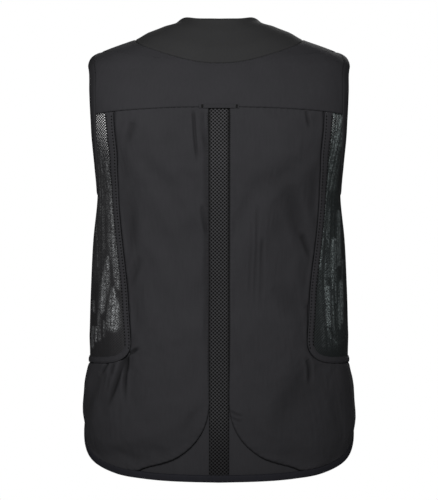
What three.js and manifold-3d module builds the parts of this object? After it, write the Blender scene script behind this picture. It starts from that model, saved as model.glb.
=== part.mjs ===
// A sleeveless riding vest whose padded panels hold a folded airbag, in the form it has when worn.
// Millimetres, +Z up. +X is the wearer's right and +Y is the wearer's front, so the back faces -Y.
// Every piece lies on one body form. A place on it is an angle round the body, in degrees from the
// middle of the back and positive towards +X, and a height above the lowest point of the back hem.

import * as THREE from "three";
import { mergeVertices } from "three/addons/utils/BufferGeometryUtils.js";
import Module from "manifold-3d";

const wasm = await Module();
wasm.setup();

// Driving dimensions.
const SHOULDER_HEIGHT = 608; // from the back hem up to where the vest sits on the shoulders
const ROUNDNESS = 2.3; // exponent of the body's sections in front, 2 for an ellipse
const CLEARANCE = 0.5; // gap that two neighbouring pieces keep
const SEAM_DEPTH = 8; // reach of a seam's cut through the walls, to each side of the form
const TAPE_MARGIN = 3; // the same for a tape's cut, beyond the tape's own faces
const FACET = 0.24; // how far a face may move where small facets are joined

const WALL = { edge: 2.4, padded: 6.4, yoke: 3.6, collar: 7, tail: 1.8, net: 1.4, spacer: 2.8 };
const PAD_OUTWARD = 0.7; // share of a pad's swelling that goes outwards
const PAD_EDGE = { across: 0.28, along: 0.12 }; // share of a pad over which its swelling rises
const STRIP_HALF = 13.5; // half width of the mesh strip down the spine
const STRIP_SINK = 0.6; // how far the strip's face lies below the form
const TAIL_SINK = 5; // the same for the tail, which passes under the panels and the strip
const TAIL = { top: 114, end: 36, span: 51 }; // heights of its upper edge, and degrees to each side
const SIDE_SEAM = 116; // angle of the seam between back and front
const MESH_FLOOR = 162.5; // height of the lower edge of the side mesh
const FRONT = 180;

const BINDING = { half: 6, low: -3.3, high: 0.9 }; // tape round each armhole
const PIPING = { half: 4.8, low: -3.1, high: 1.1 }; // tape along the side mesh
const HEM = { half: 5, low: -4.5, high: 0.8 };
const ZIP = { half: 6, low: -2.8, high: 1.4, top: 574 };
const LOOP = { half: 2.6, length: 55, thick: 1.2, bow: 2.4, height: 507 };

// Facets along each tape and seam, and across and along each panel.
const STEPS = { hem: 44, zip: 10, collar: 36, yoke: 22, armhole: 28, mesh: 22, seam: 8, shoulder: 2 };
const GRID = {
  collar: [2, 36],
  yoke: [14, 5],
  back: [6, 14],
  front: [8, 12],
  net: [4, 14],
  strip: [2, 26],
  tail: [4, 14],
  loop: 12,
};
const NUDGE = 0.002; // step along a line that gives its direction

// The body's sections: half width, depth from the shoulder line to the back and to the front, and the
// exponent of the back, which is flatter over the shoulder blades.
const BODY = [
  { z: 0, half: 187, back: 112, front: 118, power: 2.3 },
  { z: 76, half: 187.5, back: 116, front: 118, power: 2.3 },
  { z: 132, half: 184, back: 111, front: 117, power: 2.3 },
  { z: 188, half: 179, back: 105, front: 114, power: 2.3 },
  { z: 258, half: 177, back: 100, front: 114, power: 2.3 },
  { z: 328, half: 175, back: 104, front: 121, power: 2.4 },
  { z: 394, half: 170, back: 112, front: 128, power: 2.7 },
  { z: 430, half: 174, back: 116, front: 128, power: 3 },
  { z: 480, half: 184, back: 117, front: 121, power: 3.4 },
  { z: 530, half: 194, back: 109.5, front: 106, power: 3.5 },
  { z: 565, half: 190, back: 97, front: 91.5, power: 3.2 },
  { z: 578, half: 181.5, back: 91, front: 86, power: 2.9 },
  { z: 587, half: 168.5, back: 86, front: 81, power: 2.6 },
  { z: 608, half: 114.5, back: 74, front: 70, power: 2.3 },
  { z: 620, half: 82, back: 68, front: 64, power: 2.3 },
  { z: 630, half: 60.5, back: 64, front: 60, power: 2.3 },
  { z: 640, half: 56, back: 60, front: 57, power: 2.3 },
  { z: 652, half: 55, back: 58, front: 56, power: 2.3 },
];

// Soft folds pressed into the form, each along a line from one place to another.
const FOLDS = [
  { fromAngle: -58, fromZ: 172, toAngle: -50, toZ: 84, width: 15, depth: -3.4 },
  { fromAngle: -66, fromZ: 150, toAngle: -82, toZ: 92, width: 17, depth: -2.8 },
  { fromAngle: 62, fromZ: 150, toAngle: 70, toZ: 78, width: 17, depth: -2.4 },
  { fromAngle: -40, fromZ: 42, toAngle: -64, toZ: 34, width: 13, depth: -3 },
  { fromAngle: 52, fromZ: 270, toAngle: 33, toZ: 380, width: 26, depth: -2.2 },
  { fromAngle: -50, fromZ: 455, toAngle: -30, toZ: 380, width: 22, depth: -1.8 },
  { fromAngle: 84, fromZ: 190, toAngle: 80, toZ: 340, width: 12, depth: -3.2 },
  { fromAngle: -82, fromZ: 190, toAngle: -79, toZ: 340, width: 12, depth: -3.2 },
];

// The hem's lower edge: long behind, and short over the hips and in front.
const HEM_LINE = [
  { angle: 0, z: 0 },
  { angle: 30, z: 1.4 },
  { angle: 46, z: 4 },
  { angle: 60, z: 9.6 },
  { angle: 75, z: 26.5 },
  { angle: 90, z: 62 },
  { angle: 105, z: 101 },
  { angle: 120, z: 119 },
  { angle: 140, z: 121 },
  { angle: FRONT, z: 121 },
];

// Each armhole is an egg-shaped loop round the side of the body.
const ARMHOLE = { low: 396, high: 588, back: 24, backLean: -0.3, front: 30, frontLean: 0.25 };
const SIDE_SEAM_TOP = 0.84; // how far round the armhole's front the side seam meets it, in radians
const SIDE_SEAM_LOW = 90; // below the hem, where the side seam's cut starts
const SEAM_OVERRUN = 6; // how far the shoulder seam's cut runs past its two ends

// The taped edge between a back panel and the side mesh, from the yoke down and round to the side.
const MESH_EDGE = [
  { angle: 56.8, z: 512 },
  { angle: 57.5, z: 450 },
  { angle: 61.4, z: 388 },
  { angle: 61.5, z: 318 },
  { angle: 59.4, z: 240 },
  { angle: 57.4, z: 200 },
  { angle: 56.9, z: 184 },
  { angle: 58.4, z: 173.5 },
  { angle: 61.6, z: 167 },
  { angle: 66, z: 164 },
  { angle: 73, z: MESH_FLOOR + 0.4 },
  { angle: 83, z: MESH_FLOOR },
  { angle: 94, z: MESH_FLOOR },
  { angle: 105, z: MESH_FLOOR },
  { angle: SIDE_SEAM, z: MESH_FLOOR },
];

// The stretch of the taped edge that runs up the back, by height.
const EDGE_BY_HEIGHT = MESH_EDGE.slice(0, 7).reverse();

// The inner edge of a back panel, row for row with the taped edge: beside the strip, then the
// rounded corner that bares the tail, then the hem.
const STRIP_STOPS = [512, 450, 386, 312, 240, 168];
const CORNER = [
  { x: STRIP_HALF + 0.6, z: 99 },
  { x: 27, z: 62 },
  { x: 56, z: 34.5 },
  { x: 97, z: 20.5 },
];
const HEM_STOPS = [52, 68, 85, 101, SIDE_SEAM];

// The side mesh's two edges, row for row: up the taped edge and along its foot, and round the
// armhole and down the side seam.
const NET_TAPED = [512, 462, 424, 388, 350, 312, 270, 234, 204];
const NET_FOOT = [
  { angle: 58, z: 175 },
  { angle: 63, z: 165.4 },
  { angle: 76, z: MESH_FLOOR },
  { angle: 96, z: MESH_FLOOR },
];
const NET_ARM_BACK = [507, 446, 412, ARMHOLE.low];
const NET_SEAM = [372, 304, 250, 214, 190, 176, MESH_FLOOR];
const NET_SINK = 0.4; // how far the mesh's face lies below the form

// A front panel's two edges, row for row: up the zip, and up the side seam and round the armhole.
const FRONT_ZIP = [126, 190, 260, 330, 396, 432, 466, 494, 514, 530];
const FRONT_SIDE = [126, 190, 260, 345];
const FRONT_ARM = [SIDE_SEAM_TOP, 1.4, 1.9, 2.4, Math.PI];
const ARMHOLE_SHARE = 0.8; // share of the yoke's side that lies along the armhole

// The yoke's lower seam, the collar's seam and the neck's edge.
const YOKE_SEAM = { middle: 507, drop: 9, at: 65 };
const YOKE_END = 75; // past the armhole's edge
const COLLAR_SEAM = { shoulder: 608, back: 568, backPower: 2.4, front: 530, frontPower: 2 };
const NECK_EDGE = [
  { angle: 0, z: 632 },
  { angle: 26, z: 633 },
  { angle: 50, z: 636 },
  { angle: 70, z: 634.5 },
  { angle: 90, z: 631 },
  { angle: 112, z: 624 },
  { angle: 135, z: 606 },
  { angle: 157, z: 586 },
  { angle: FRONT, z: ZIP.top },
];

const FABRIC = { color: 0x323234, roughness: 0.85, metalness: 0 };
const TAPE = { color: 0x1d1e20, roughness: 0.8, metalness: 0 };
const NET = { color: 0x3a3f40, roughness: 0.75, metalness: 0 };
const SPACER = { color: 0x2a2a2b, roughness: 0.8, metalness: 0 };
const ZIPPER = { color: 0x18191a, roughness: 0.5, metalness: 0 };

const LEFT = -1;
const RIGHT = 1;
const rad = THREE.MathUtils.degToRad;
const deg = THREE.MathUtils.radToDeg;
const { lerp, smoothstep } = THREE.MathUtils;

// A column of a table at a height or angle, by a cubic through its rows.
function column(rows, key, name, at) {
  const last = rows.length - 1;
  const found = rows.findIndex((row) => row[key] > at) - 1;
  const i = found < -1 ? last - 1 : Math.max(0, found);
  const slope = (k) => {
    const a = rows[Math.max(0, k - 1)];
    const b = rows[Math.min(last, k + 1)];
    return (b[name] - a[name]) / (b[key] - a[key]);
  };
  const step = rows[i + 1][key] - rows[i][key];
  const t = (at - rows[i][key]) / step;
  const rest = 1 - t;
  return (
    rows[i][name] * (1 + 2 * t) * rest * rest +
    rows[i + 1][name] * (3 - 2 * t) * t * t +
    step * t * rest * (slope(i) * rest - slope(i + 1) * t)
  );
}

const bodyAt = (z) => ({
  half: column(BODY, "z", "half", z),
  back: column(BODY, "z", "back", z),
  front: column(BODY, "z", "front", z),
  power: column(BODY, "z", "power", z),
});

// How far the folds push the form out at a place: a smooth groove along each fold's line.
function foldAt(angle, z) {
  let push = 0;
  for (const fold of FOLDS) {
    const reach = bodyAt(z).half * rad(1);
    const along = new THREE.Vector2((fold.toAngle - fold.fromAngle) * reach, fold.toZ - fold.fromZ);
    const from = new THREE.Vector2((angle - fold.fromAngle) * reach, z - fold.fromZ);
    const t = THREE.MathUtils.clamp(from.dot(along) / along.lengthSq(), 0, 1);
    const away = from.addScaledVector(along, -t).length() / fold.width;
    push += fold.depth * Math.exp(-away * away) * Math.sin(Math.PI * (0.15 + 0.7 * t));
  }
  return push;
}

// The point of the form at a place: a superellipse section with its folds.
function form(angle, z) {
  const { half, back, front, power } = bodyAt(z);
  const sine = Math.sin(rad(angle));
  const cosine = Math.cos(rad(angle));
  const [depth, round] = cosine > 0 ? [back, power] : [front, ROUNDNESS];
  const size = Math.abs(sine / half) ** round + Math.abs(cosine / depth) ** round;
  const reach = size ** (-1 / round) + foldAt(angle, z);
  return new THREE.Vector3(reach * sine, -reach * cosine, z);
}

// The form's outward normal, from two small steps across it.
function outward(angle, z) {
  const across = form(angle + 0.2, z).sub(form(angle - 0.2, z));
  const up = form(angle, z + 0.5).sub(form(angle, z - 0.5));
  return across.cross(up).normalize();
}

const raised = ([angle, z], height) =>
  form(angle, z).addScaledVector(outward(angle, z), height);

// The angle of a point of the back that lies x to the side.
function angleBehind(x, z) {
  const { half, back, power } = bodyAt(z);
  return deg(Math.atan2(x, back * (1 - Math.abs(x / half) ** power) ** (1 / power)));
}

// Seams and edges as places.
const hemHeight = (angle) => column(HEM_LINE, "angle", "z", Math.abs(angle));
const hemMiddle = (angle) => [angle, hemHeight(angle) + HEM.half];
const yokeSeam = (angle) => YOKE_SEAM.middle - YOKE_SEAM.drop * Math.abs(angle / YOKE_SEAM.at) ** 3;
const neckEdge = (angle) => column(NECK_EDGE, "angle", "z", Math.abs(angle));

function collarSeam(angle) {
  const { shoulder, back, backPower, front, frontPower } = COLLAR_SEAM;
  const [low, power] = Math.abs(angle) < 90 ? [back, backPower] : [front, frontPower];
  return lerp(low, shoulder, Math.abs(Math.sin(rad(angle))) ** power);
}

// A place on the armhole's edge: turn runs from 0 under the arm to pi at the shoulder.
function armhole(side, half, turn) {
  const { low, high, back, backLean, front, frontLean } = ARMHOLE;
  const z = (low + high) / 2 - ((high - low) / 2) * Math.cos(turn);
  const [sweep, lean] = half === "back" ? [-back, backLean] : [front, frontLean];
  const swing = sweep * Math.sin(turn) * (1 + lean * Math.cos(turn));
  return [side * (90 + swing), z];
}

const armholeTurn = (z) =>
  Math.acos(((ARMHOLE.low + ARMHOLE.high) / 2 - z) / ((ARMHOLE.high - ARMHOLE.low) / 2));

// A smooth line through places, followed from 0 to 1.
function line(places) {
  const spline = new THREE.SplineCurve(places.map(([a, z]) => new THREE.Vector2(a, z)));
  return (t) => spline.getPoint(t).toArray();
}

const between = (a, b, t) => [lerp(a[0], b[0], t), lerp(a[1], b[1], t)];

// A patch between two lines: u runs from the first to the second, v along both.
const ruled = (first, second) => (u, v) => between(first(v), second(v), u);

// A patch inside four lines: v runs along left and right, u along low and high.
function coons(low, high, left, right) {
  return (u, v) => {
    const sides = between(left(v), right(v), u);
    const ends = between(low(u), high(u), v);
    const corners = between(between(low(0), low(1), u), between(high(0), high(1), u), v);
    return [sides[0] + ends[0] - corners[0], sides[1] + ends[1] - corners[1]];
  };
}

// A closed solid from points and triangles, turned to face out.
function solid(points, triangles) {
  const volume = triangles.reduce((sum, [a, b, c]) => {
    const turn = new THREE.Vector3().crossVectors(points[b], points[c]);
    return sum + points[a].dot(turn);
  }, 0);
  const faces = volume < 0 ? triangles.map(([a, b, c]) => [a, c, b]) : triangles;
  const vertProperties = new Float32Array(points.flatMap((p) => p.toArray()));
  return new wasm.Manifold(
    new wasm.Mesh({ numProp: 3, vertProperties, triVerts: new Uint32Array(faces.flat()) }),
  );
}

// The closed skin of a grid of rings: each ring has the same number of points, and the first and
// last rings are capped unless the rings close on themselves. The two halves of a ring are split
// along matching diagonals, so that a twisted wall keeps its thickness.
function ringSolid(rings, closed = false) {
  const size = rings[0].length;
  const triangles = [];
  const joins = closed ? rings.length : rings.length - 1;
  for (let r = 0; r < joins; r++) {
    for (let k = 0; k < size; k++) {
      const next = (k + 1) % size;
      const [a, b] = [r * size + k, r * size + next];
      const [c, d] = [((r + 1) % rings.length) * size + next, ((r + 1) % rings.length) * size + k];
      if (k < size / 2) triangles.push([a, b, c], [a, c, d]);
      else triangles.push([a, b, d], [b, c, d]);
    }
  }
  if (!closed) {
    const last = (rings.length - 1) * size;
    const half = size / 2;
    for (let k = 0; k < half - 1; k++) {
      const [a, b, c, d] = [k, k + 1, size - 2 - k, size - 1 - k];
      triangles.push([a, c, b], [a, d, c]);
      triangles.push([last + a, last + b, last + c], [last + a, last + c, last + d]);
    }
  }
  return solid(rings.flat(), triangles);
}

// A wall over a patch: its outer face and its inner face, a ring for each step along.
function wall(patch, [across, along], inner, outer) {
  const rings = [];
  for (let j = 0; j <= along; j++) {
    const steps = Array.from({ length: across + 1 }, (_, i) => i / across);
    const v = j / along;
    rings.push([
      ...steps.map((u) => raised(patch(u, v), outer(u, v))),
      ...steps.reverse().map((u) => raised(patch(u, v), -inner(u, v))),
    ]);
  }
  return ringSolid(rings);
}

// A pad: thin at its edges and swollen between them.
function pad(patch, grid, thick) {
  const swell = (u, v) => {
    const across = smoothstep(Math.min(u, 1 - u), 0, PAD_EDGE.across);
    const along = smoothstep(Math.min(v, 1 - v), 0, PAD_EDGE.along);
    return (thick - WALL.edge) * across * along;
  };
  const inner = (u, v) => WALL.edge + (1 - PAD_OUTWARD) * swell(u, v);
  return wall(patch, grid, inner, (u, v) => PAD_OUTWARD * swell(u, v));
}

// An even wall that lies a given depth below the form.
const sheet = (patch, grid, thick, sink) =>
  wall(patch, grid, () => sink + thick, () => -sink);

// A tape along a line of places: a flat section with chamfered outer corners.
function tape(path, steps, { half, low, high }, closed = false) {
  const corner = Math.min(half, high - low) / 3;
  const section = [
    [-half, low],
    [half, low],
    [half, high - corner],
    [half - corner, high],
    [corner - half, high],
    [-half, high - corner],
  ];
  const count = closed ? steps : steps + 1;
  const rings = Array.from({ length: count }, (_, k) => {
    const t = k / steps;
    const ahead = closed ? (t + NUDGE) % 1 : Math.min(1, t + NUDGE);
    const behind = closed ? (t + 1 - NUDGE) % 1 : Math.max(0, t - NUDGE);
    const place = path(t);
    const normal = outward(...place);
    const along = form(...path(ahead)).sub(form(...path(behind)));
    const side = normal.clone().cross(along).normalize();
    return section.map(([w, h]) =>
      form(...place).addScaledVector(side, w).addScaledVector(normal, h),
    );
  });
  return ringSolid(rings, closed);
}

// The same tape with a clearance all round, for cutting its neighbours, and a plain seam's cut.
const grown = ({ half, low, high }) => ({
  half: half + CLEARANCE,
  low: low - TAPE_MARGIN,
  high: high + TAPE_MARGIN,
});
const SEAM = { half: CLEARANCE / 2, low: -SEAM_DEPTH, high: SEAM_DEPTH };

// What is left of a piece once its neighbours' cuts are taken from it: its one large body.
function cut(piece, ...cutters) {
  const left = cutters.reduce((rest, cutter) => rest.subtract(cutter), piece).simplify(FACET);
  const bodies = left.decompose();
  return bodies.reduce((best, body) => (body.volume() > best.volume() ? body : best));
}

// Lines and cuts that several pieces share.
const seamTop = armhole(RIGHT, "front", SIDE_SEAM_TOP);
const meshEdge = (side) => line(MESH_EDGE.map(({ angle, z }) => [side * angle, z]));
const armholeLoop = (side) => (t) =>
  t < 0.5
    ? armhole(side, "back", 2 * Math.PI * t)
    : armhole(side, "front", 2 * Math.PI * (1 - t));
const sideSeam = (side) => (t) => [
  side * lerp(SIDE_SEAM, seamTop[0], t),
  lerp(SIDE_SEAM_LOW, seamTop[1], t),
];
const frontLine = (t) => [FRONT, lerp(hemHeight(FRONT), ZIP.top, t)];
const frontGap = (t) => [FRONT, lerp(hemHeight(FRONT) - ZIP.half, ZIP.top + ZIP.half, t)];
const hemLine = (t) => hemMiddle(lerp(-FRONT, FRONT, t));
const yokeLine = (t) => [lerp(-YOKE_END, YOKE_END, t), yokeSeam(lerp(-YOKE_END, YOKE_END, t))];
const collarLine = (t) => [lerp(-FRONT, FRONT, t), collarSeam(lerp(-FRONT, FRONT, t))];
const neckLine = (t) => [lerp(-FRONT, FRONT, t), neckEdge(lerp(-FRONT, FRONT, t))];
const shoulderLine = (side) => (t) => [
  side * 90,
  lerp(ARMHOLE.high - SEAM_OVERRUN, COLLAR_SEAM.shoulder + SEAM_OVERRUN, t),
];

const zipCut = tape(frontGap, STEPS.zip, grown(ZIP));
const hemCut = tape(hemLine, STEPS.hem, grown(HEM));
const yokeCut = tape(yokeLine, STEPS.yoke, SEAM);
const collarCut = tape(collarLine, STEPS.collar, SEAM);
const sideCuts = (side) => ({
  armhole: tape(armholeLoop(side), STEPS.armhole, grown(BINDING), true),
  mesh: tape(meshEdge(side), STEPS.mesh, grown(PIPING)),
  seam: tape(sideSeam(side), STEPS.seam, SEAM),
  shoulder: tape(shoulderLine(side), STEPS.shoulder, SEAM),
});
const cuts = { [LEFT]: sideCuts(LEFT), [RIGHT]: sideCuts(RIGHT) };

// The strip's place down the spine, from the hem to the yoke.
function stripPatch(half) {
  const edge = (side) => (t) => {
    const z = lerp(hemMiddle(0)[1], YOKE_SEAM.middle, t);
    return [side * angleBehind(half, z), z];
  };
  return ruled(edge(LEFT), edge(RIGHT));
}
const stripCut = sheet(stripPatch(STRIP_HALF + CLEARANCE), GRID.strip, 2 * SEAM_DEPTH, -SEAM_DEPTH);

// The collar: a padded band round the neck, from one side of the zip to the other.
function collar() {
  return cut(pad(ruled(collarLine, neckLine), GRID.collar, WALL.collar), zipCut, collarCut);
}

// The yoke: across the shoulder blades, up to the collar and the shoulders.
function yoke() {
  const turn = armholeTurn(yokeSeam(YOKE_SEAM.at));
  const edge = (side) => (t) =>
    t < ARMHOLE_SHARE
      ? armhole(side, "back", lerp(turn, Math.PI, t / ARMHOLE_SHARE))
      : [side * 90, lerp(ARMHOLE.high, COLLAR_SEAM.shoulder, (t - ARMHOLE_SHARE) / (1 - ARMHOLE_SHARE))];
  const reach = armhole(RIGHT, "back", turn)[0];
  const low = (u) => [lerp(-reach, reach, u), yokeSeam(lerp(-reach, reach, u))];
  const high = (u) => [lerp(-90, 90, u), collarSeam(lerp(-90, 90, u))];
  const patch = coons(low, high, edge(LEFT), edge(RIGHT));
  const sides = [LEFT, RIGHT].flatMap((side) => [cuts[side].armhole, cuts[side].shoulder]);
  return cut(pad(patch, GRID.yoke, WALL.yoke), yokeCut, collarCut, ...sides);
}

// A back panel: beside the strip, out to the taped edge, and round under the mesh to the side.
function backPanel(side) {
  const inner = [
    ...STRIP_STOPS.map((z) => [angleBehind(STRIP_HALF, z), z]),
    ...CORNER.map(({ x, z }) => [angleBehind(x, z), z]),
    ...HEM_STOPS.map(hemMiddle),
  ].map(([angle, z]) => [side * angle, z]);
  const panel = pad(ruled(line(inner), meshEdge(side)), GRID.back, WALL.padded);
  return cut(panel, yokeCut, hemCut, cuts[side].mesh, cuts[side].seam, stripCut);
}

// The strip of spacer mesh down the spine, sunk between the back panels.
function strip() {
  return cut(sheet(stripPatch(STRIP_HALF), GRID.strip, WALL.spacer, STRIP_SINK), yokeCut, hemCut);
}

// The tail: the under layer that shows at the foot of the back, below the panels' rounded corners.
function tail() {
  const { top, end, span } = TAIL;
  const low = (v) => hemMiddle(lerp(-span, span, v));
  const high = (v) => [lerp(-span, span, v), lerp(top, end, (2 * v - 1) ** 2)];
  return sheet(ruled(low, high), GRID.tail, WALL.tail, TAIL_SINK);
}

// The side mesh: from the taped edge round to the side seam, below the yoke and the armhole.
function sideMesh(side) {
  const far = [
    ...NET_ARM_BACK.map((z) => armhole(side, "back", armholeTurn(z))),
    armhole(side, "front", SIDE_SEAM_TOP / 2),
    armhole(side, "front", SIDE_SEAM_TOP),
    ...NET_SEAM.map((z) => [side * SIDE_SEAM, z]),
  ];
  const near = [
    ...NET_TAPED.map((z) => [side * column(EDGE_BY_HEIGHT, "z", "angle", z), z]),
    ...NET_FOOT.map(({ angle, z }) => [side * angle, z]),
  ];
  const net = sheet(ruled(line(near), line(far)), GRID.net, WALL.net, NET_SINK);
  const { armhole: round, mesh, seam } = cuts[side];
  return cut(net, yokeCut, round, mesh, seam);
}

// A front panel: from the side seam and the armhole to the zip, up to the shoulder and the collar.
function frontPanel(side) {
  const centre = line(FRONT_ZIP.map((z) => [side * FRONT, z]));
  const edge = line([
    ...FRONT_SIDE.map((z) => [side * SIDE_SEAM, z]),
    ...FRONT_ARM.map((turn) => armhole(side, "front", turn)),
    [side * 90, COLLAR_SEAM.shoulder],
  ]);
  const low = (u) => hemMiddle(side * lerp(FRONT, SIDE_SEAM, u));
  const high = (u) => [side * lerp(FRONT, 90, u), collarSeam(lerp(FRONT, 90, u))];
  const panel = pad(coons(low, high, centre, edge), GRID.front, WALL.padded);
  const { armhole: round, seam, shoulder } = cuts[side];
  return cut(panel, zipCut, hemCut, collarCut, round, seam, shoulder);
}

// The hanging loop: a short tape sewn down at both ends over the yoke's lower seam.
function hangLoop() {
  const { half, length, thick, bow, height } = LOOP;
  const rings = Array.from({ length: GRID.loop + 1 }, (_, k) => {
    const t = k / GRID.loop;
    const x = length * (t - 0.5);
    const lift = CLEARANCE + bow * Math.sin(Math.PI * t) ** 2;
    const section = [
      [-half, lift],
      [half, lift],
      [half, lift + thick],
      [-half, lift + thick],
    ];
    return section.map(([up, out]) => raised([angleBehind(x, height + up), height + up], out));
  });
  return ringSolid(rings);
}

// The vest, lowered so that its origin lies at the shoulders.
const vest = new THREE.Group();
const worn = new THREE.Group();
worn.position.z = -SHOULDER_HEIGHT;
vest.add(worn);

function add(name, piece, finish) {
  const { numProp, vertProperties, triVerts } = piece.getMesh();
  const geometry = new THREE.BufferGeometry();
  geometry.setAttribute("position", new THREE.BufferAttribute(vertProperties, numProp));
  geometry.setIndex(new THREE.BufferAttribute(triVerts, 1));
  const mesh = new THREE.Mesh(mergeVertices(geometry), new THREE.MeshStandardMaterial(finish));
  mesh.name = name;
  worn.add(mesh);
}

add("collar", collar(), FABRIC);
add("yoke", yoke(), FABRIC);
add("centre_mesh", strip(), SPACER);
add("tail_panel", tail(), FABRIC);
add("hang_loop", hangLoop(), TAPE);
add("hem_band", cut(tape(hemLine, STEPS.hem, HEM), zipCut), TAPE);
add("front_zip", tape(frontLine, STEPS.zip, ZIP), ZIPPER);
for (const side of [LEFT, RIGHT]) {
  const name = side === LEFT ? "left" : "right";
  const piping = tape(meshEdge(side), STEPS.mesh, PIPING);
  add(`back_panel_${name}`, backPanel(side), FABRIC);
  add(`side_mesh_${name}`, sideMesh(side), NET);
  add(`mesh_binding_${name}`, cut(piping, yokeCut, cuts[side].seam), TAPE);
  add(`armhole_binding_${name}`, tape(armholeLoop(side), STEPS.armhole, BINDING, true), TAPE);
  add(`front_panel_${name}`, frontPanel(side), FABRIC);
}

export default vest;
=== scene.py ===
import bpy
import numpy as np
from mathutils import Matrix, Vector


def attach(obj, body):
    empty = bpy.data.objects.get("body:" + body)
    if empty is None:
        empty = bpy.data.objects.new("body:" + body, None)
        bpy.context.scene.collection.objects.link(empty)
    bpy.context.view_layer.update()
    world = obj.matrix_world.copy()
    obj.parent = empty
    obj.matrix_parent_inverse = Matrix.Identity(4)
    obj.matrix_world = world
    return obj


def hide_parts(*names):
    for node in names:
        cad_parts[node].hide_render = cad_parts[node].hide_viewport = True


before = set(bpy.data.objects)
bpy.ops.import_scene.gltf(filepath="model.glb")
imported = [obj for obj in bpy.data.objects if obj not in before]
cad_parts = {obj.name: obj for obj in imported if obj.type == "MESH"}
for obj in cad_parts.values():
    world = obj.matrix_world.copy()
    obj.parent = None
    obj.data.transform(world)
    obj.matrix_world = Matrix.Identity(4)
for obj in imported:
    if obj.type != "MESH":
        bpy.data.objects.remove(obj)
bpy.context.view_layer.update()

# A sleeveless riding vest with padded panels, in cloth: crowned panels, taped and stitched edges, a
# knitted mesh strip down the spine and open net at the sides. Shapes are worked out in millimetres on
# one body form. A place on it is an angle round the body, in degrees from the middle of the back and
# positive towards +X, and a height above the lowest point of the back hem.

MM = 0.001
SHOULDER_HEIGHT = 608.0
MEAN_RADIUS = 165.0
ROUNDNESS_AHEAD = 2.3
FRONT = 180.0
LEFT, RIGHT = -1, 1
SIDES = {"left": LEFT, "right": RIGHT}

# Height, half width, depth from the shoulder line to the back and to the front, and the exponent of the
# back's section, which is flatter over the shoulder blades.
BODY = np.array([
    (0, 187, 112, 118, 2.3),
    (76, 187.5, 116, 118, 2.3),
    (132, 184, 111, 117, 2.3),
    (188, 179, 105, 114, 2.3),
    (258, 177, 100, 114, 2.3),
    (328, 175, 104, 121, 2.4),
    (394, 170, 112, 128, 2.7),
    (430, 174, 116, 128, 3.0),
    (480, 184, 117, 121, 3.4),
    (530, 194, 109.5, 106, 3.5),
    (565, 190, 97, 91.5, 3.2),
    (578, 181.5, 91, 86, 2.9),
    (587, 168.5, 86, 81, 2.6),
    (608, 114.5, 74, 70, 2.3),
    (620, 82, 68, 64, 2.3),
    (630, 60.5, 64, 60, 2.3),
    (640, 56, 60, 57, 2.3),
    (652, 55, 58, 56, 2.3),
], float)
HALF, BACK, AHEAD, POWER = 1, 2, 3, 4

# Soft folds of the whole form: angle and height of both ends, width, depth. From end to end the depth
# follows a stretch of a sine's half wave.
FOLDS = [
    (-58, 172, -50, 84, 15, -3.4),
    (-66, 150, -82, 92, 17, -2.8),
    (62, 150, 70, 78, 17, -2.4),
    (-40, 42, -64, 34, 13, -3),
    (52, 270, 33, 380, 26, -2.2),
    (-50, 455, -30, 380, 22, -1.8),
    (84, 190, 80, 340, 12, -3.2),
    (-82, 190, -79, 340, 12, -3.2),
]
FOLD_WAVE = {"from": 0.15, "over": 0.7}

# Angle and height of the hem's lower edge, and of the neck's edge.
HEM_LINE = np.array([
    (0, 0), (30, 1.4), (46, 4), (60, 9.6), (75, 26.5), (90, 62), (105, 101), (120, 119), (140, 121),
    (180, 121),
], float)
NECK_EDGE = np.array([
    (0, 632), (26, 633), (50, 636), (70, 634.5), (90, 631), (112, 624), (135, 606), (157, 586),
    (180, 574),
], float)

STRIP_HALF = 13.5
SIDE_SEAM = 116.0
MESH_FLOOR = 162.5
HEM_HALF = 5.0
ZIP_HALF = 6.0
ZIP_TOP = 574.0
ARMHOLE = {"low": 396.0, "high": 588.0, "back": (-24.0, -0.3), "front": (30.0, 0.25)}
# Where the side seam meets the armhole, as a turn round it.
SIDE_SEAM_TOP = 0.84
BINDING_HALF = 6.0
# How far panels pass under the tapes.
TUCK = {"front_hem": 0.5, "back_hem": 1.2, "arm": 1.6}
YOKE_SEAM = {"middle": 507.0, "drop": 9.0, "at": 65.0}
COLLAR_SEAM = {"shoulder": 608.0, "back": (568.0, 2.4), "front": (530.0, 2.0)}
SEAM_GAP = 0.6
# Millimetres to a degree round the body at the side seam.
SIDE_DEGREE = 3
YOKE_GAP = 0.25
UNDER_YOKE = {"depth": 3.0, "before": 1.2, "over": 2.0}

# Angle and height along the taped edge between a back panel and the net.
MESH_EDGE = np.array([
    (56.8, 512), (57.5, 450), (61.4, 388), (61.5, 318), (59.4, 240), (57.4, 200), (56.9, 184),
    (58.4, 173.5), (61.6, 167), (66, 164), (73, 162.9), (83, 162.5), (94, 162.5), (105, 162.5),
    (116, 162.5),
], float)
EDGE_UP_THE_BACK = MESH_EDGE[6::-1]
EDGE_ALONG_FOOT = MESH_EDGE[6:]

# A back panel's inner edge, row for row with the taped edge.
STRIP_STOPS = [512, 450, 386, 312, 240, 168]
CORNER = [(14.1, 99), (27, 62), (56, 34.5), (97, 20.5)]
HEM_STOPS = [52, 68, 85, 101, 116]

TAIL = {"top": 114.0, "end": 36.0, "span": 54.0, "sink": 5.0, "thick": 1.8, "uneven": 0.6}
# A front's stops: heights along the zip and up the side seam, and turns round the armhole.
FRONT_ZIP = [126, 190, 260, 330, 396, 432, 466, 494, 514, 530]
FRONT_SIDE = [126, 190, 260, 345]
FRONT_ARM = [0.79, 1.4, 1.9, 2.4, np.pi]
ARMHOLE_SHARE = 0.8

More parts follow.
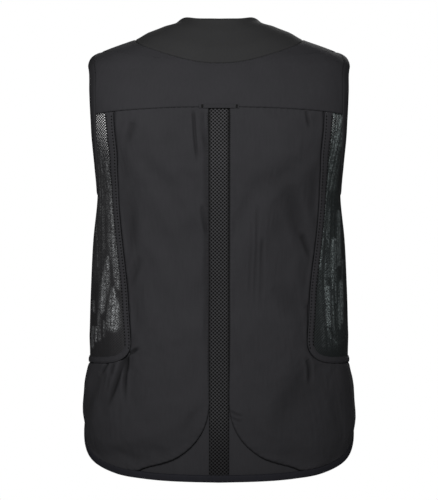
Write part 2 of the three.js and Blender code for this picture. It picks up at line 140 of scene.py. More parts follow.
# How a crease fades: share of its depth at its start, run to its full depth, and the run from which a
# narrow one fades and over which. Then the width below which it is narrow, how far it reaches, where
# its lips lie and how wide they are, in widths, and how far ahead of the shoulders it shows.
CREASE = {
    "steps": 121, "start": 0.4, "rise": 0.12, "fade_from": 0.62, "fade_over": 0.4, "narrow": 5.5,
    "reach": 3.5, "lip_at": 1.9, "lip_width": 0.8, "ahead": 20.0,
}
# Creases of the back, as the camera sees them: three points along each, width, depth, lip.
CREASES = [
    (-126, 190, -127, 150, -128, 104, 2.8, -3.4, 0.5),
    (-127, 174, -128, 160, -127, 146, 6.5, -3.6, 0.8),
    (-131, 168, -139, 136, -153, 98, 3.2, -3.0, 0.5),
    (-135, 150, -146, 124, -162, 96, 7.0, -1.8, 0.6),
    (-154, 160, -157, 152, -164, 141, 2.2, -2.4, 0.4),
    (-124, 172, -117, 176, -107, 182, 2.3, -3.2, 0.5),
    (-144, 158, -147, 150, -147, 140, 3.0, -1.2, 0.4),
    (-36, 96, -39, 80, -46, 62, 6.0, -1.4, 0.4),
    (-34.5, 500, -32, 462, -28, 428, 2.1, -2.2, 0.5),
    (-23, 500, -21.5, 474, -18, 446, 2.6, -1.2, 0.3),
    (-117, 486, -120, 474, -127, 452, 5.0, -1.4, 0.5),
    (-107, 306, -115, 286, -124, 262, 5.6, -3.0, 0.7),
    (-126, 236, -128, 215, -127, 190, 4.0, -2.2, 0.6),
    (98, 404, 107, 352, 125, 304, 9.0, -4.2, 0.6),
    (114, 334, 120, 318, 127, 298, 3.6, -1.6, 0.5),
    (122, 240, 126, 220, 128, 196, 5.0, -1.8, 0.5),
    (16, 96, 24, 92, 33, 90, 1.9, -1.2, 0.4),
    (17, 88, 24, 84, 32, 82, 1.9, -0.9, 0.3),
    (48, 28, 72, 24, 100, 23, 4.0, -1.2, 0.5),
    (126, 166, 100, 118, 70, 66, 15.0, -5.0, 0.6),
    (146, 150, 128, 118, 104, 60, 16.0, -2.0, 0.3),
    (70, 262, 95, 245, 118, 228, 16.0, -2.6, 0.3),
    (-16.6, 480, -17.2, 300, -16.6, 112, 4.2, -1.5, 0.2),
    (-122, 400, -120, 350, -124, 310, 9.0, -2.4, 0.3),
    (52, 372, 50, 300, 47, 222, 2.4, -0.8, 0.3),
    (44, 350, 43, 290, 40, 230, 2.2, -0.6, 0.3),
    (59, 330, 57.5, 280, 56, 225, 2.4, -0.7, 0.3),
    (120, 165, 124, 150, 122, 128, 3.0, -2.0, 0.5),
    (118, 504, 120, 490, 124, 478, 2.4, -1.8, 0.4),
    (104, 440, 92, 372, 84, 250, 22.0, -2.8, 0.3),
    (-23, 373, -20, 350, -15, 327, 2.4, -1.4, 0.3),
    (-60, 500, -62, 470, -70, 430, 16.0, -1.0, 0.2),
    (-92, 34, -112, 30, -136, 36, 6.0, -1.4, 0.4),
]

# Patches of painted highlight on the loose nets, as the camera sees them: two ends, each with its width,
# and the strength.
NET_HIGHLIGHTS = {
    "left": [
        (-158, 470, 16.0, -156, 372, 15.0, 0.17),
        (-164, 372, 12.0, -162, 280, 12.0, 0.11),
        (-166, 430, 1.4, -163, 360, 1.6, 0.36),
        (-170, 350, 1.4, -166, 290, 1.4, 0.40),
        (-162, 448, 2.0, -160, 384, 1.6, 0.34),
        (-154, 440, 1.6, -150, 352, 2.0, 0.40),
        (-160, 372, 1.8, -157, 316, 1.6, 0.34),
        (-147, 412, 4.0, -145.5, 325, 6.2, 0.50),
        (-145.5, 325, 6.2, -138.5, 262, 2.6, 0.52),
        (-152.4, 304, 1.8, -155, 268, 6.0, 0.90),
        (-155, 268, 6.0, -160, 230, 4.0, 0.90),
        (-144.9, 262, 1.8, -143.5, 238, 6.5, 0.80),
        (-143.5, 238, 6.5, -144.2, 211, 8.5, 0.80),
        (-163.3, 226, 2.0, -162.7, 190, 1.6, 0.70),
        (-155.8, 216, 1.4, -155.8, 195, 1.2, 0.70),
        (-172, 242, 2.0, -171, 228, 2.0, 0.70),
        (-172, 206, 2.4, -174, 180, 2.0, 0.80),
        (-167, 207, 1.6, -168, 188, 1.4, 0.70),
    ],
    "right": [
        (157, 505, 17.0, 156, 462, 15.0, 1.00),
        (156, 462, 13.0, 154, 402, 9.0, 0.55),
        (152, 430, 14.0, 150, 300, 16.0, 0.12),
        (150, 300, 16.0, 154, 190, 14.0, 0.15),
        (149, 390, 1.4, 147, 330, 1.2, 0.50),
        (152, 372, 1.2, 149.5, 318, 1.0, 0.55),
        (160, 300, 1.6, 158.5, 240, 1.4, 0.60),
        (146, 300, 1.0, 144.5, 250, 1.0, 0.50),
        (154, 250, 1.2, 155.5, 204, 1.0, 0.60),
        (170, 300, 1.6, 168, 252, 1.4, 0.60),
        (146.6, 396, 2.6, 144.7, 344, 2.6, 0.75),
        (142.0, 343, 2.6, 138.5, 290, 1.8, 0.75),
        (157, 327, 4.0, 152.9, 280, 4.8, 0.95),
        (155.6, 281, 1.8, 155, 262, 1.4, 0.80),
        (147.8, 262, 4.0, 150, 212, 4.4, 0.95),
        (166.5, 268, 3.6, 165, 216, 4.2, 0.95),
        (165, 223, 2.6, 163.8, 206, 2.0, 0.80),
        (165.5, 366, 3.2, 163.8, 295, 4.0, 0.80),
        (144.7, 215, 1.3, 151.5, 194, 1.3, 0.55),
        (151.5, 194, 1.3, 162.4, 184, 1.3, 0.45),
    ],
}


def lerp(a, b, t):
    """The value a share t of the way from a to b."""
    return a + (b - a) * t


def smooth(t):
    """An S-shaped rise from 0 to 1: three times the square less twice the cube."""
    t = np.clip(t, 0, 1)
    return t * t * (3 - 2 * t)


def through(table, at, column=1):
    """A cubic through a table's rows: Hermite pieces whose slopes are the rows' central differences."""
    keys, values = table[:, 0], table[:, column]
    last = len(keys) - 1
    rows = np.arange(last + 1)
    before, after = np.maximum(rows - 1, 0), np.minimum(rows + 1, last)
    slope = (values[after] - values[before]) / (keys[after] - keys[before])
    i = np.clip(np.searchsorted(keys, at, side="right") - 1, 0, last - 1)
    step = keys[i + 1] - keys[i]
    t = (at - keys[i]) / step
    rest = 1 - t
    ends = values[i] * (1 + 2 * t) * rest**2 + values[i + 1] * (3 - 2 * t) * t**2
    return ends + step * t * rest * (slope[i] * rest - slope[i + 1] * t)


def pressed(angle, z):
    """How far the folds push the form: along the line of each one a bell-shaped groove that fades at its
    ends."""
    reach = through(BODY, z) * np.radians(1)
    push = np.zeros(np.broadcast(angle, z).shape)
    for from_angle, from_z, to_angle, to_z, width, depth in FOLDS:
        along = (to_angle - from_angle) * reach, to_z - from_z
        off = (angle - from_angle) * reach, z - from_z
        t = (off[0] * along[0] + off[1] * along[1]) / (along[0] ** 2 + along[1] ** 2)
        t = np.clip(t, 0, 1)
        away = np.hypot(off[0] - t * along[0], off[1] - t * along[1]) / width
        push += depth * np.exp(-(away**2)) * np.sin(np.pi * (FOLD_WAVE["from"] + FOLD_WAVE["over"] * t))
    return push


def form(angle, z):
    """The body form: at each height a superellipse round the body, with the folds added to its
    reach."""
    angle, z = np.broadcast_arrays(np.asarray(angle, float), np.asarray(z, float))
    sine, cosine = np.sin(np.radians(angle)), np.cos(np.radians(angle))
    depth = np.where(cosine > 0, through(BODY, z, BACK), through(BODY, z, AHEAD))
    power = np.where(cosine > 0, through(BODY, z, POWER), ROUNDNESS_AHEAD)
    size = np.abs(sine / through(BODY, z, HALF)) ** power + np.abs(cosine / depth) ** power
    reach = size ** (-1 / power) + pressed(angle, z)
    return np.stack([reach * sine, -reach * cosine, z], -1)


def unit(vectors):
    """The vectors at length one."""
    return vectors / np.maximum(np.linalg.norm(vectors, axis=-1, keepdims=True), 1e-9)


def on_form(places):
    """The form's points at places, which are pairs of an angle and a height."""
    return form(places[..., 0], places[..., 1])


# Degrees round the body and millimetres up.
SMALL_STEP = (0.2, 0.5)


def outward(angle, z):
    """The form's normal: the cross product of a small step round the body and a small step up."""
    turn, climb = SMALL_STEP
    across = form(angle + turn, z) - form(angle - turn, z)
    up = form(angle, z + climb) - form(angle, z - climb)
    return unit(np.cross(across, up))


def raised(places, height):
    """Points of the form, moved out along its normal by a height."""
    angle, z = places[..., 0], places[..., 1]
    return on_form(places) + outward(angle, z) * np.asarray(height)[..., None]


def angle_behind(x, z):
    """The angle of the point of the back that lies x to the side, by the superellipse's equation."""
    x, z = np.asarray(x, float), np.asarray(z, float)
    power = through(BODY, z, POWER)
    depth = through(BODY, z, BACK) * (1 - np.abs(x / through(BODY, z, HALF)) ** power) ** (1 / power)
    return np.degrees(np.arctan2(x, depth))


def hem_middle(angle):
    """Height of the middle of the hem band."""
    return through(HEM_LINE, np.abs(angle)) + HEM_HALF


def yoke_seam(angle):
    """Height of the yoke's lower seam: level in the middle and dropping with the cube of the angle."""
    return YOKE_SEAM["middle"] - YOKE_SEAM["drop"] * np.abs(angle / YOKE_SEAM["at"]) ** 3


def collar_seam(angle):
    """Height of the collar's seam: from its low point up to the shoulder with a power of the sine."""
    behind = np.abs(angle) < 90
    low = np.where(behind, COLLAR_SEAM["back"][0], COLLAR_SEAM["front"][0])
    power = np.where(behind, COLLAR_SEAM["back"][1], COLLAR_SEAM["front"][1])
    return lerp(low, COLLAR_SEAM["shoulder"], np.abs(np.sin(np.radians(angle))) ** power)


def armhole(side, half, turn):
    """Places round an egg-shaped loop: height by the cosine of the turn, angle by its sine, leaned."""
    middle, reach = (ARMHOLE["low"] + ARMHOLE["high"]) / 2, (ARMHOLE["high"] - ARMHOLE["low"]) / 2
    sweep, lean = ARMHOLE[half]
    swing = sweep * np.sin(turn) * (1 + lean * np.cos(turn))
    return np.stack([side * (90 + swing), middle - reach * np.cos(turn)], -1)


def beside(path, distance):
    """A path of places moved sideways on the form, along the cross product of its normal and the path's
    course."""
    at = on_form(path)
    side = unit(np.cross(outward(path[:, 0], path[:, 1]), np.gradient(at, axis=0)))
    moved = at + distance * side
    return np.stack([np.degrees(np.arctan2(moved[:, 0], -moved[:, 1])), moved[:, 2]], -1)


def arm_tape_edge(half, turn):
    """Places along the outer edge of the right armhole's tape, where the panels end."""
    away = BINDING_HALF - TUCK["arm"]
    return beside(armhole(RIGHT, half, turn), away if half == "back" else -away)


def under_yoke(angle, z):
    """How far edges that end at the yoke's seam sink there to pass under it."""
    rise = (z - yoke_seam(angle) + UNDER_YOKE["before"]) / UNDER_YOKE["over"]
    return UNDER_YOKE["depth"] * smooth(rise)


def spline(points, t):
    """A smooth line through points: Hermite pieces whose slopes are half the step between
    neighbours."""
    points = np.asarray(points, float)
    last = len(points) - 1
    at = np.clip(t, 0, 1) * last
    i = np.minimum(at.astype(int), last - 1)
    w = (at - i)[..., None]
    before, start, end = points[np.maximum(i - 1, 0)], points[i], points[i + 1]
    a, b = (end - before) / 2, (points[np.minimum(i + 2, last)] - start) / 2
    return (2 * (start - end) + a + b) * w**3 + (3 * (end - start) - 2 * a - b) * w**2 + a * w + start


def ruled(first, second, across, stop=1.0):
    """A patch of places: straight lines from each place of one edge to the same row of the other, or to
    a share of the way there."""
    share = np.linspace(0, 1, across)[None, :] * np.broadcast_to(stop, len(first))[:, None]
    return lerp(first[:, None, :], second[:, None, :], share[..., None])


def coons(low, high, left, right):
    """A patch inside four edges: the ruled patch both ways less the patch through the four corners."""
    u = np.linspace(0, 1, len(low))[None, :, None]
    v = np.linspace(0, 1, len(left))[:, None, None]
    sides = lerp(left[:, None, :], right[:, None, :], u)
    ends = lerp(low[None, :, :], high[None, :, :], v)
    corners = lerp(lerp(low[0], low[-1], u), lerp(high[0], high[-1], u), v)
    return sides + ends - corners


# Degrees round the body at which edges start to draw back from the zip, and over which they do.
DRAW_BACK = {"from": 150.0, "over": 30.0}


def clear_of_zip(places, gap):
    """Places near the middle of the front, drawn back so that they end a gap from it."""
    angle, z = places[..., 0], places[..., 1]
    near = smooth((np.abs(angle) - DRAW_BACK["from"]) / DRAW_BACK["over"])
    turn = np.degrees(np.arcsin(gap / through(BODY, z, AHEAD))) * near
    return np.stack([angle - np.sign(angle) * turn, z], -1)


def edge_distances(points):
    """Millimetres along the grid from its first and last column and its first and last row."""
    across = np.linalg.norm(np.diff(points, axis=1), axis=-1)
    along = np.linalg.norm(np.diff(points, axis=0), axis=-1)
    across = np.pad(np.cumsum(across, 1), ((0, 0), (1, 0)))
    along = np.pad(np.cumsum(along, 0), ((1, 0), (0, 0)))
    return across, across[:, -1:] - across, along, along[-1:] - along


def rounded(distance, radius):
    """A quarter of an ellipse: 0 at the edge, 1 from the radius on."""
    return np.sqrt(1 - (1 - np.clip(distance / radius, 0, 1)) ** 2)


def bowed(t, first, middle, last):
    """The quadratic through three values, at the start, the middle and the end of t."""
    return (1 - t) * (1 - 2 * t) * first + 4 * t * (1 - t) * middle + t * (2 * t - 1) * last


def crease_push(points):
    """The creases' push: a bell-shaped groove along each line with lower lips beside it. A narrow one
    is deep near its first end, a broad one in its middle. The narrow ones' share of the push comes
    second."""
    x, z = points[..., 0], points[..., 2]
    push = np.zeros(x.shape)
    narrow = np.zeros(x.shape)
    t = np.linspace(0, 1, CREASE["steps"])
    quick_start = smooth(CREASE["start"] + t / CREASE["rise"])
    quick_start *= 1 - smooth((t - CREASE["fade_from"]) / CREASE["fade_over"])
    both_ends = np.sin(np.pi * t)
    for x0, z0, x1, z1, x2, z2, width, depth, lip in CREASES:
        line_x, line_z = bowed(t, x0, x1, x2), bowed(t, z0, z1, z2)
        reach = CREASE["reach"] * width
        close = points[..., 1] < CREASE["ahead"]
        close &= (x > line_x.min() - reach) & (x < line_x.max() + reach)
        close &= (z > line_z.min() - reach) & (z < line_z.max() + reach)
        if close.any():
            away = np.hypot(x[close][:, None] - line_x, z[close][:, None] - line_z)
            ratio = away.min(-1) / width
            from_lip = (ratio - CREASE["lip_at"]) / CREASE["lip_width"]
            groove = np.exp(-(ratio**2)) * depth + lip * np.exp(-(from_lip**2))
            fade = quick_start if width < CREASE["narrow"] else both_ends
            groove *= fade[away.argmin(-1)]
            push[close] += groove
            if width < CREASE["narrow"]:
                narrow[close] += groove
    return push, narrow


def waves(count, across, along, height, seed):
    """A table of sine waves: wave numbers across and along, phase and height, drawn from a fixed
    seed."""
    draw = np.random.default_rng(seed)
    lengths = draw.uniform(*across, count), draw.uniform(*along, count)
    sign = draw.choice([-1, 1], count)
    return np.stack([
        2 * np.pi / lengths[0], sign * 2 * np.pi / lengths[1], draw.uniform(0, 2 * np.pi, count),
        draw.uniform(0.4, 1, count) * height,
    ], 1)


# Unevenness of cloth: soft waves, fine crinkles, and the patches that the crinkles come and go in.
SOFT_WAVES = waves(10, (45, 110), (60, 160), 0.22, 3)
CRINKLES = waves(16, (5.5, 13), (45, 130), 0.02, 7)
CRINKLE_PATCHES = waves(5, (40, 90), (60, 140), 0.45, 11)
CRINKLE_SHARE = {"usual": 0.8, "most": 2.0}


def wavy(places, table):
    """The sum of a table's sine waves over the arc round the body and the height."""
    arc, z = np.radians(places[..., 0]) * MEAN_RADIUS, places[..., 1]
    total = np.zeros(arc.shape)
    for across, along, phase, height in table:
        total += height * np.sin(across * arc + along * z + phase)
    return total


def unevenness(places):
    """Soft waves, and fine upright crinkles that come and go in patches."""
    patches = np.clip(CRINKLE_SHARE["usual"] + wavy(places, CRINKLE_PATCHES), 0, CRINKLE_SHARE["most"])
    return wavy(places, SOFT_WAVES) + patches * wavy(places, CRINKLES)


# Slow waves that shift the gathers beside a seam: share, length, phase.
GATHER_DRIFT = [(0.9, 31.0, 0.0), (0.6, 13.7, 1.3)]
GATHER_SWING = 2.2


def pucker(distance, run, height, length, reach):
    """Small gathers beside a seam: a wave along the seam that dies away with the distance from it."""
    drift = sum(share * np.sin(run / slow + phase) for share, slow, phase in GATHER_DRIFT)
    wave = np.sin(2 * np.pi * run / length + GATHER_SWING * drift)
    return height * np.exp(-distance / reach) * wave


# A hidden face has one row and column in three.
HIDDEN_STEP = 3


def quads_of(index):
    """The four corners of each cell of a grid of vertex numbers."""
    a, b, c, d = index[:-1, :-1], index[:-1, 1:], index[1:, 1:], index[1:, :-1]
    return np.stack([a, b, c, d], -1).reshape(-1, 4)


def shell(outer, inner, ring=False):
    """A closed wall between two grids of points: both faces, and quads that join their rims."""
    rows, columns = outer.shape[:2]
    count = rows * columns
    index = np.arange(count).reshape(rows, columns)
    if ring:
        index = np.vstack([index, index[:1]])
        rims = [index[:, -1], index[::-1, 0]]
    else:
        rims = [around(index)]
    front = quads_of(index)
    faces = [front, front[:, ::-1] + count]
    for rim in rims:
        start, end = rim[:-1], rim[1:]
        faces.append(np.stack([end, start, start + count, end + count], 1))
    points = np.concatenate([outer.reshape(-1, 3), inner.reshape(-1, 3)])
    return points, np.concatenate(faces)


def around(index):
    """The vertex numbers round the rim of a grid, back to the first."""
    return np.concatenate([index[0], index[1:, -1], index[-1, -2::-1], index[-2::-1, 0]])


def quilt(outer, inner):
    """A closed wall like a shell, whose hidden face has every third row and column only: each cell of
    its rim is a six-sided face with three edges of the outer face and one of the hidden one."""
    rows, columns = outer.shape[:2]
    hidden = inner[::HIDDEN_STEP, ::HIDDEN_STEP]
    index = np.arange(rows * columns).reshape(rows, columns)
    behind = index.size + np.arange(hidden.shape[0] * hidden.shape[1]).reshape(hidden.shape[:2])
    fine, coarse = around(index), around(behind)
    rim = np.stack([fine[3::3], fine[2::3], fine[1::3], fine[:-1:3], coarse[:-1], coarse[1:]], 1)
    points = np.concatenate([outer.reshape(-1, 3), hidden.reshape(-1, 3)])
    return points, [quads_of(index), quads_of(behind)[:, ::-1], rim]


def facing_out(points, groups):
    """The groups of faces, turned over if the volume that their four-sided ones close comes out
    negative."""
    volume = 0
    for quads in groups:
        if quads.shape[1] == 4:
            a, b, c, d = (points[quads[:, k]] for k in range(4))
            volume += (a * np.cross(b, c)).sum() + (a * np.cross(c, d)).sum()
    return groups if volume > 0 else [faces[:, ::-1] for faces in groups]


def cloth_uv(points):
    """A grid's own flat coordinates in metres: the run across each row, and the mean run along the
    rows."""
    across, _, along, _ = edge_distances(points)
    return np.stack([across - across.mean(1, keepdims=True), along], -1) * MM


def add_mesh(name, points, groups, finish, uv=None, attributes=None):
    """A mesh object from points in millimetres and groups of faces, lowered to the shoulders,
    smooth-shaded."""
    mesh = bpy.data.meshes.new(name)
    placed = (points - [0, 0, SHOULDER_HEIGHT]) * MM
    faces = [face for group in groups for face in group.tolist()]
    mesh.from_pydata(placed.tolist(), [], faces, shade_flat=False)
    if uv is not None:
        corners = np.empty(len(mesh.loops), np.int32)
        mesh.loops.foreach_get("vertex_index", corners)
        layer = mesh.uv_layers.new(name="cloth")
        layer.uv.foreach_set("vector", uv[corners].astype(np.float32).ravel())
    for label, values in (attributes or {}).items():
        mesh.attributes.new(label, "FLOAT", "POINT").data.foreach_set("value", values.astype(np.float32))
    mesh.materials.append(finish)
    piece = bpy.data.objects.new(name, mesh)
    bpy.context.scene.collection.objects.link(piece)
    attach(piece, "root")
    return piece


def add_shell(name, outer, inner, finish, ring=False):
    """A closed wall as an object, with its flat coordinates on both faces."""
    points, quads = shell(outer, inner, ring)
    uv = np.concatenate([cloth_uv(outer).reshape(-1, 2), cloth_uv(inner).reshape(-1, 2)])
    return add_mesh(name, points, facing_out(points, [quads]), finish, uv)


def add_quilt(name, outer, inner, finish, painted_fold_shade=None):
    """A closed wall with a coarse hidden face as an object, with its flat coordinates on both faces. The
    painted shade of the outer face's creases goes with it as an attribute."""
    points, groups = quilt(outer, inner)
    hidden_uv = cloth_uv(inner)[::HIDDEN_STEP, ::HIDDEN_STEP]
    uv = np.concatenate([cloth_uv(outer).reshape(-1, 2), hidden_uv.reshape(-1, 2)])
    if painted_fold_shade is None:
        painted_fold_shade = np.zeros(outer.shape[:2])
    # deep is the painted shade of the outer face's creases; the hidden face gets none.
    deep = np.concatenate([painted_fold_shade.ravel(), np.zeros(len(points) - painted_fold_shade.size)])
    return add_mesh(name, points, facing_out(points, groups), finish, uv, {"painted_fold_shade": deep})


def stands_for(piece, slot, *nodes):
    """Hides the CAD nodes that a piece stands for, and gives back the piece. Its slot is not used."""
    if nodes:
        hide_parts(*nodes)
    return piece


# Finishes.

def node(tree, kind, inputs=None, **settings):
    """A shader node with its settings and its inputs' constant values."""
    made = tree.nodes.new(kind)
    for key, value in settings.items():
        setattr(made, key, value)
    for key, value in (inputs or {}).items():
        made.inputs[key].default_value = value
    return made


def ramp(tree, factor, stops):
    """A colour ramp over a factor: each stop is a position and a grey or a colour."""
    made = tree.nodes.new("ShaderNodeValToRGB")
    elements = made.color_ramp.elements
    while len(elements) < len(stops):
        elements.new(0.5)
    for element, (position, colour) in zip(elements, stops):
        element.position = position
        element.color = (*colour, 1)
    tree.links.new(factor, made.inputs[0])
    return made.outputs[0]


def grey(value, tint=(1, 1, 1)):
    """A grey, tinted."""
    return tuple(value * share for share in tint)


# Radians to a unit of length in a wave texture of scale 1.
WAVE_TURN = 20


def fabric(
    name, value, tint, spread, rough, weave_mm, weave_depth, crinkle_depth, attribute=None, light=None,
    glint_scale=None,
):
    """Woven cloth: two crossed sine bands for the threads, stretched noise for the crinkle, both as bump,
    and that noise and a slow one between a darker and a lighter shade for the colour: the slow noise is
    random tone, the crinkle noise is painted shade that follows the crinkles. An attribute can mix in
    another shade, painted shade on the shell cloth and the knit and painted highlights on the nets, which
    can be broken into specks by fine noise of a scale."""
    made = bpy.data.materials.new(name)
    made.use_nodes = True
    tree = made.node_tree
    tree.nodes.clear()
    link = tree.links.new
    out = tree.nodes.new("ShaderNodeOutputMaterial")
    shader = node(tree, "ShaderNodeBsdfPrincipled", {
        "Roughness": rough, "Specular IOR Level": 0.15,
    })
    link(shader.outputs[0], out.inputs[0])
    spot = node(tree, "ShaderNodeTexCoord")
    slow = node(tree, "ShaderNodeTexNoise", {"Scale": 22.0, "Detail": 5.0, "Roughness": 0.6})
    link(spot.outputs["Object"], slow.inputs["Vector"])
    stretch = node(tree, "ShaderNodeMapping", {"Scale": (420, 420, 60)})
    link(spot.outputs["Object"], stretch.inputs["Vector"])
    crinkle = node(tree, "ShaderNodeTexNoise", {"Scale": 1.0, "Detail": 4.0, "Roughness": 0.6})
    link(stretch.outputs[0], crinkle.inputs["Vector"])
    # The colour mixes the slow noise, a random tone, with the crinkle noise, painted shade that follows
    # the crinkles.
    both = node(tree, "ShaderNodeMix", {"Factor": 0.5}, data_type="FLOAT")
    link(slow.outputs["Fac"], both.inputs["A"])
    link(crinkle.outputs["Fac"], both.inputs["B"])
    dark, pale = grey(value * (1 - spread), tint), grey(value * (1 + spread), tint)
    shade = ramp(tree, both.outputs["Result"], [(0.35, dark), (0.65, pale)])
    if attribute:
        amount = node(tree, "ShaderNodeAttribute", attribute_name=attribute)
        mixed = node(tree, "ShaderNodeMix", {"B": (*light, 1)}, data_type="RGBA")
        share = amount.outputs["Fac"]
        if glint_scale:
            fine_noise = node(tree, "ShaderNodeTexNoise", {"Scale": glint_scale, "Detail": 1.0})
            link(spot.outputs["Object"], fine_noise.inputs["Vector"])
            specks = node(tree, "ShaderNodeMath", operation="MULTIPLY")
            link(share, specks.inputs[0])
            broken = ramp(tree, fine_noise.outputs["Fac"], [(0.40, grey(0)), (0.64, grey(1))])
            link(broken, specks.inputs[1])
            share = specks.outputs[0]
        link(share, mixed.inputs["Factor"])
        link(shade, mixed.inputs["A"])
        shade = mixed.outputs["Result"]
    link(shade, shader.inputs["Base Color"])
    wave = {"Scale": 2 * np.pi / (WAVE_TURN * weave_mm * MM), "Distortion": 0.6, "Detail": 1.0}
    threads = node(tree, "ShaderNodeMath", operation="MULTIPLY")
    for direction, socket in zip("XY", threads.inputs):
        band = node(tree, "ShaderNodeTexWave", wave, bands_direction=direction)
        link(spot.outputs["UV"], band.inputs["Vector"])
        link(band.outputs["Fac"], socket)
    fine = node(tree, "ShaderNodeBump", {"Strength": 0.5, "Distance": weave_depth * MM})
    link(threads.outputs[0], fine.inputs["Height"])
    coarse = node(tree, "ShaderNodeBump", {"Strength": 0.6, "Distance": crinkle_depth * MM})
    link(crinkle.outputs["Fac"], coarse.inputs["Height"])
    link(fine.outputs[0], coarse.inputs["Normal"])
    link(coarse.outputs[0], shader.inputs["Normal"])
    return made


def moulded(name, colour, rough):
    """Dull moulded plastic: fine noise in its roughness and a slight grain as bump."""
    made = bpy.data.materials.new(name)
    made.use_nodes = True
    tree = made.node_tree
    shader = tree.nodes["Principled BSDF"]
    spot = node(tree, "ShaderNodeTexCoord")
    grain = node(tree, "ShaderNodeTexNoise", {"Scale": 900.0, "Detail": 3.0})
    tree.links.new(spot.outputs["Object"], grain.inputs["Vector"])
    shade = ramp(tree, grain.outputs["Fac"], [(0.3, grey(colour * 0.8)), (0.7, grey(colour * 1.2))])
    tree.links.new(shade, shader.inputs["Base Color"])
    gloss = ramp(tree, grain.outputs["Fac"], [(0.2, grey(rough - 0.08)), (0.8, grey(rough + 0.08))])
    tree.links.new(gloss, shader.inputs["Roughness"])
    bump = node(tree, "ShaderNodeBump", {"Strength": 0.2, "Distance": 0.05 * MM})
    tree.links.new(grain.outputs["Fac"], bump.inputs["Height"])
    tree.links.new(bump.outputs[0], shader.inputs["Normal"])
    return made


BLUISH = (1, 0.985, 1.085)
KNIT_TINT = (1, 0.99, 1.05)
NEUTRAL = (1, 1, 1)
# Each cloth: grey, tint, spread of its shades, roughness, pitch of its threads in millimetres, and the
# depths of its weave and its crinkle.
CLOTHS = {
    "shell_cloth": (0.033, BLUISH, 0.06, 0.85, 0.9, 0.10, 0.30),
    "collar_cloth": (0.0325, (1, 1, 1.02), 0.05, 0.85, 0.9, 0.10, 0.20),
    "tail_cloth": (0.0355, BLUISH, 0.06, 0.85, 0.9, 0.10, 0.30),
    "edge_tape": (0.0215, BLUISH, 0.12, 0.75, 1.2, 0.16, 0.15),
    "hem_tape": (0.0185, (0.98, 0.98, 1.25), 0.12, 0.75, 1.2, 0.16, 0.15),
    "loop_tape": (0.030, BLUISH, 0.10, 0.8, 1.0, 0.14, 0.15),
    "piping_tape": (0.034, BLUISH, 0.10, 0.8, 1.0, 0.14, 0.15),
    "knit": (0.057, KNIT_TINT, 0.12, 0.7, 0.5, 0.06, 0.05),
    # The knit's back is the spacer mesh's own back layer; its near-black grey is painted shade in the
    # holes.
    "knit_back": (0.006, NEUTRAL, 0.15, 0.9, 0.8, 0.1, 0.1),
    # Both nets are the same yarn: the right net's darker copy, and its dimmer highlight colour, are
    # painted shade on the right side.
    "net_yarn_left": (0.023, (1, 0.98, 1.04), 0.15, 0.55, 0.5, 0.06, 0.05),
    "net_yarn_right": (0.019, (0.88, 1.03, 1.05), 0.15, 0.55, 0.5, 0.06, 0.05),
    # The thread is black; its near-black grey is also painted shade in the stitch holes.
    "thread": (0.003, NEUTRAL, 0.15, 0.6, 0.4, 0.05, 0.05),
}
# The attribute that mixes another shade into a cloth, that shade, and the scale of the noise that breaks
# it up: painted shade in the shell cloth's creases, painted shade in the knit, painted highlights on the
# nets.
MIXED_IN = {
    "shell_cloth": ("painted_fold_shade", grey(0.013, BLUISH)),
    "knit": ("shade", grey(0.012, KNIT_TINT)),
    "net_yarn_left": ("light", (0.62, 0.64, 0.65), 620.0),
    "net_yarn_right": ("light", (0.52, 0.60, 0.60), 620.0),
}
cloths = {name: fabric(name, *row, *MIXED_IN.get(name, ())) for name, row in CLOTHS.items()}
zip_plastic = moulded("zip_plastic", 0.012, 0.42)


# Padded panels.

# Each pad: rows and columns of its grid, thickness, the shares of its width and length over which its
# crown rises, and how full it is.
PADS = {
    "back": {"grid": (520, 124), "thick": 6.4, "crown": (0.28, 0.12), "fill": 0.45},
    "front": {"grid": (151, 64), "thick": 6.4, "crown": (0.2, 0.1), "fill": 0.45},
    "yoke": {"grid": (91, 241), "thick": 3.6, "crown": (0.1, 0.2)},
    "collar": {"grid": (43, 361), "thick": 7.0, "crown": (0.02, 0.35), "fill": 0.5},
}
EDGE_WALL = 2.4
THINNEST = 1.0
OUTWARD_SHARE = 0.7
# The depth at which a crease's painted shade is darkest, and how far a broad crease's painted shade goes
# as against a narrow one's.
FOLD_DEPTH = 3.6
BROAD_SHARE = 0.3
# How far in from a sewn edge the creases, and the unevenness, reach their full depth.
CREASED_FROM = 3.0
UNEVEN_FROM = 9.0
COLLAR_CRINKLE = 0.3
# Gathers beside seams: height, length of a wave, and how far in they reach.
GATHERS = {
    "back_top": (0.4, 8.5, 6),
    "back_inner": (0.3, 9.5, 4),
    "yoke_low": (0.25, 9.5, 4),
    "yoke_high": (0.2, 9, 4),
}


def pad_heights(points, thick, share_across, share_along, rims):
    """Heights of a pad's two faces: a crown that rises from its edges, the outer one rounded down at
    each rim."""
    edges = edge_distances(points)
    left, right, low, high = edges
    width, length = left + right, low + high
    across = smooth(np.minimum(left, right) / np.maximum(width, 1) / share_across)
    along = smooth(np.minimum(low, high) / np.maximum(length, 1) / share_along)
    swell = (thick - EDGE_WALL) * across * along
    losses = [
        drop * (1 - rounded(away - shelf, radius))
        for away, (drop, radius, shelf) in zip(edges, rims)
    ]
    outer = OUTWARD_SHARE * swell - np.max(losses, 0)
    inner = -EDGE_WALL - (1 - OUTWARD_SHARE) * swell
    return outer, inner


# The cloth simulation of a pad's face: the cloth's spare share each way, how firmly the padding holds
# it, the frames that it runs for, the most that a point moves, and how often the result is eased.
DRAPE = {"spare": 0.012, "padding": 0.07, "frames": 20, "cap": 2.0, "eased": 4}
DRAPE_SETTINGS = {
    "quality": 14, "mass": 0.02, "tension_stiffness": 15, "compression_stiffness": 15,
    "shear_stiffness": 5, "bending_stiffness": 0.1, "shrink_min": -DRAPE["spare"],
    "vertex_group_mass": "hold",
}


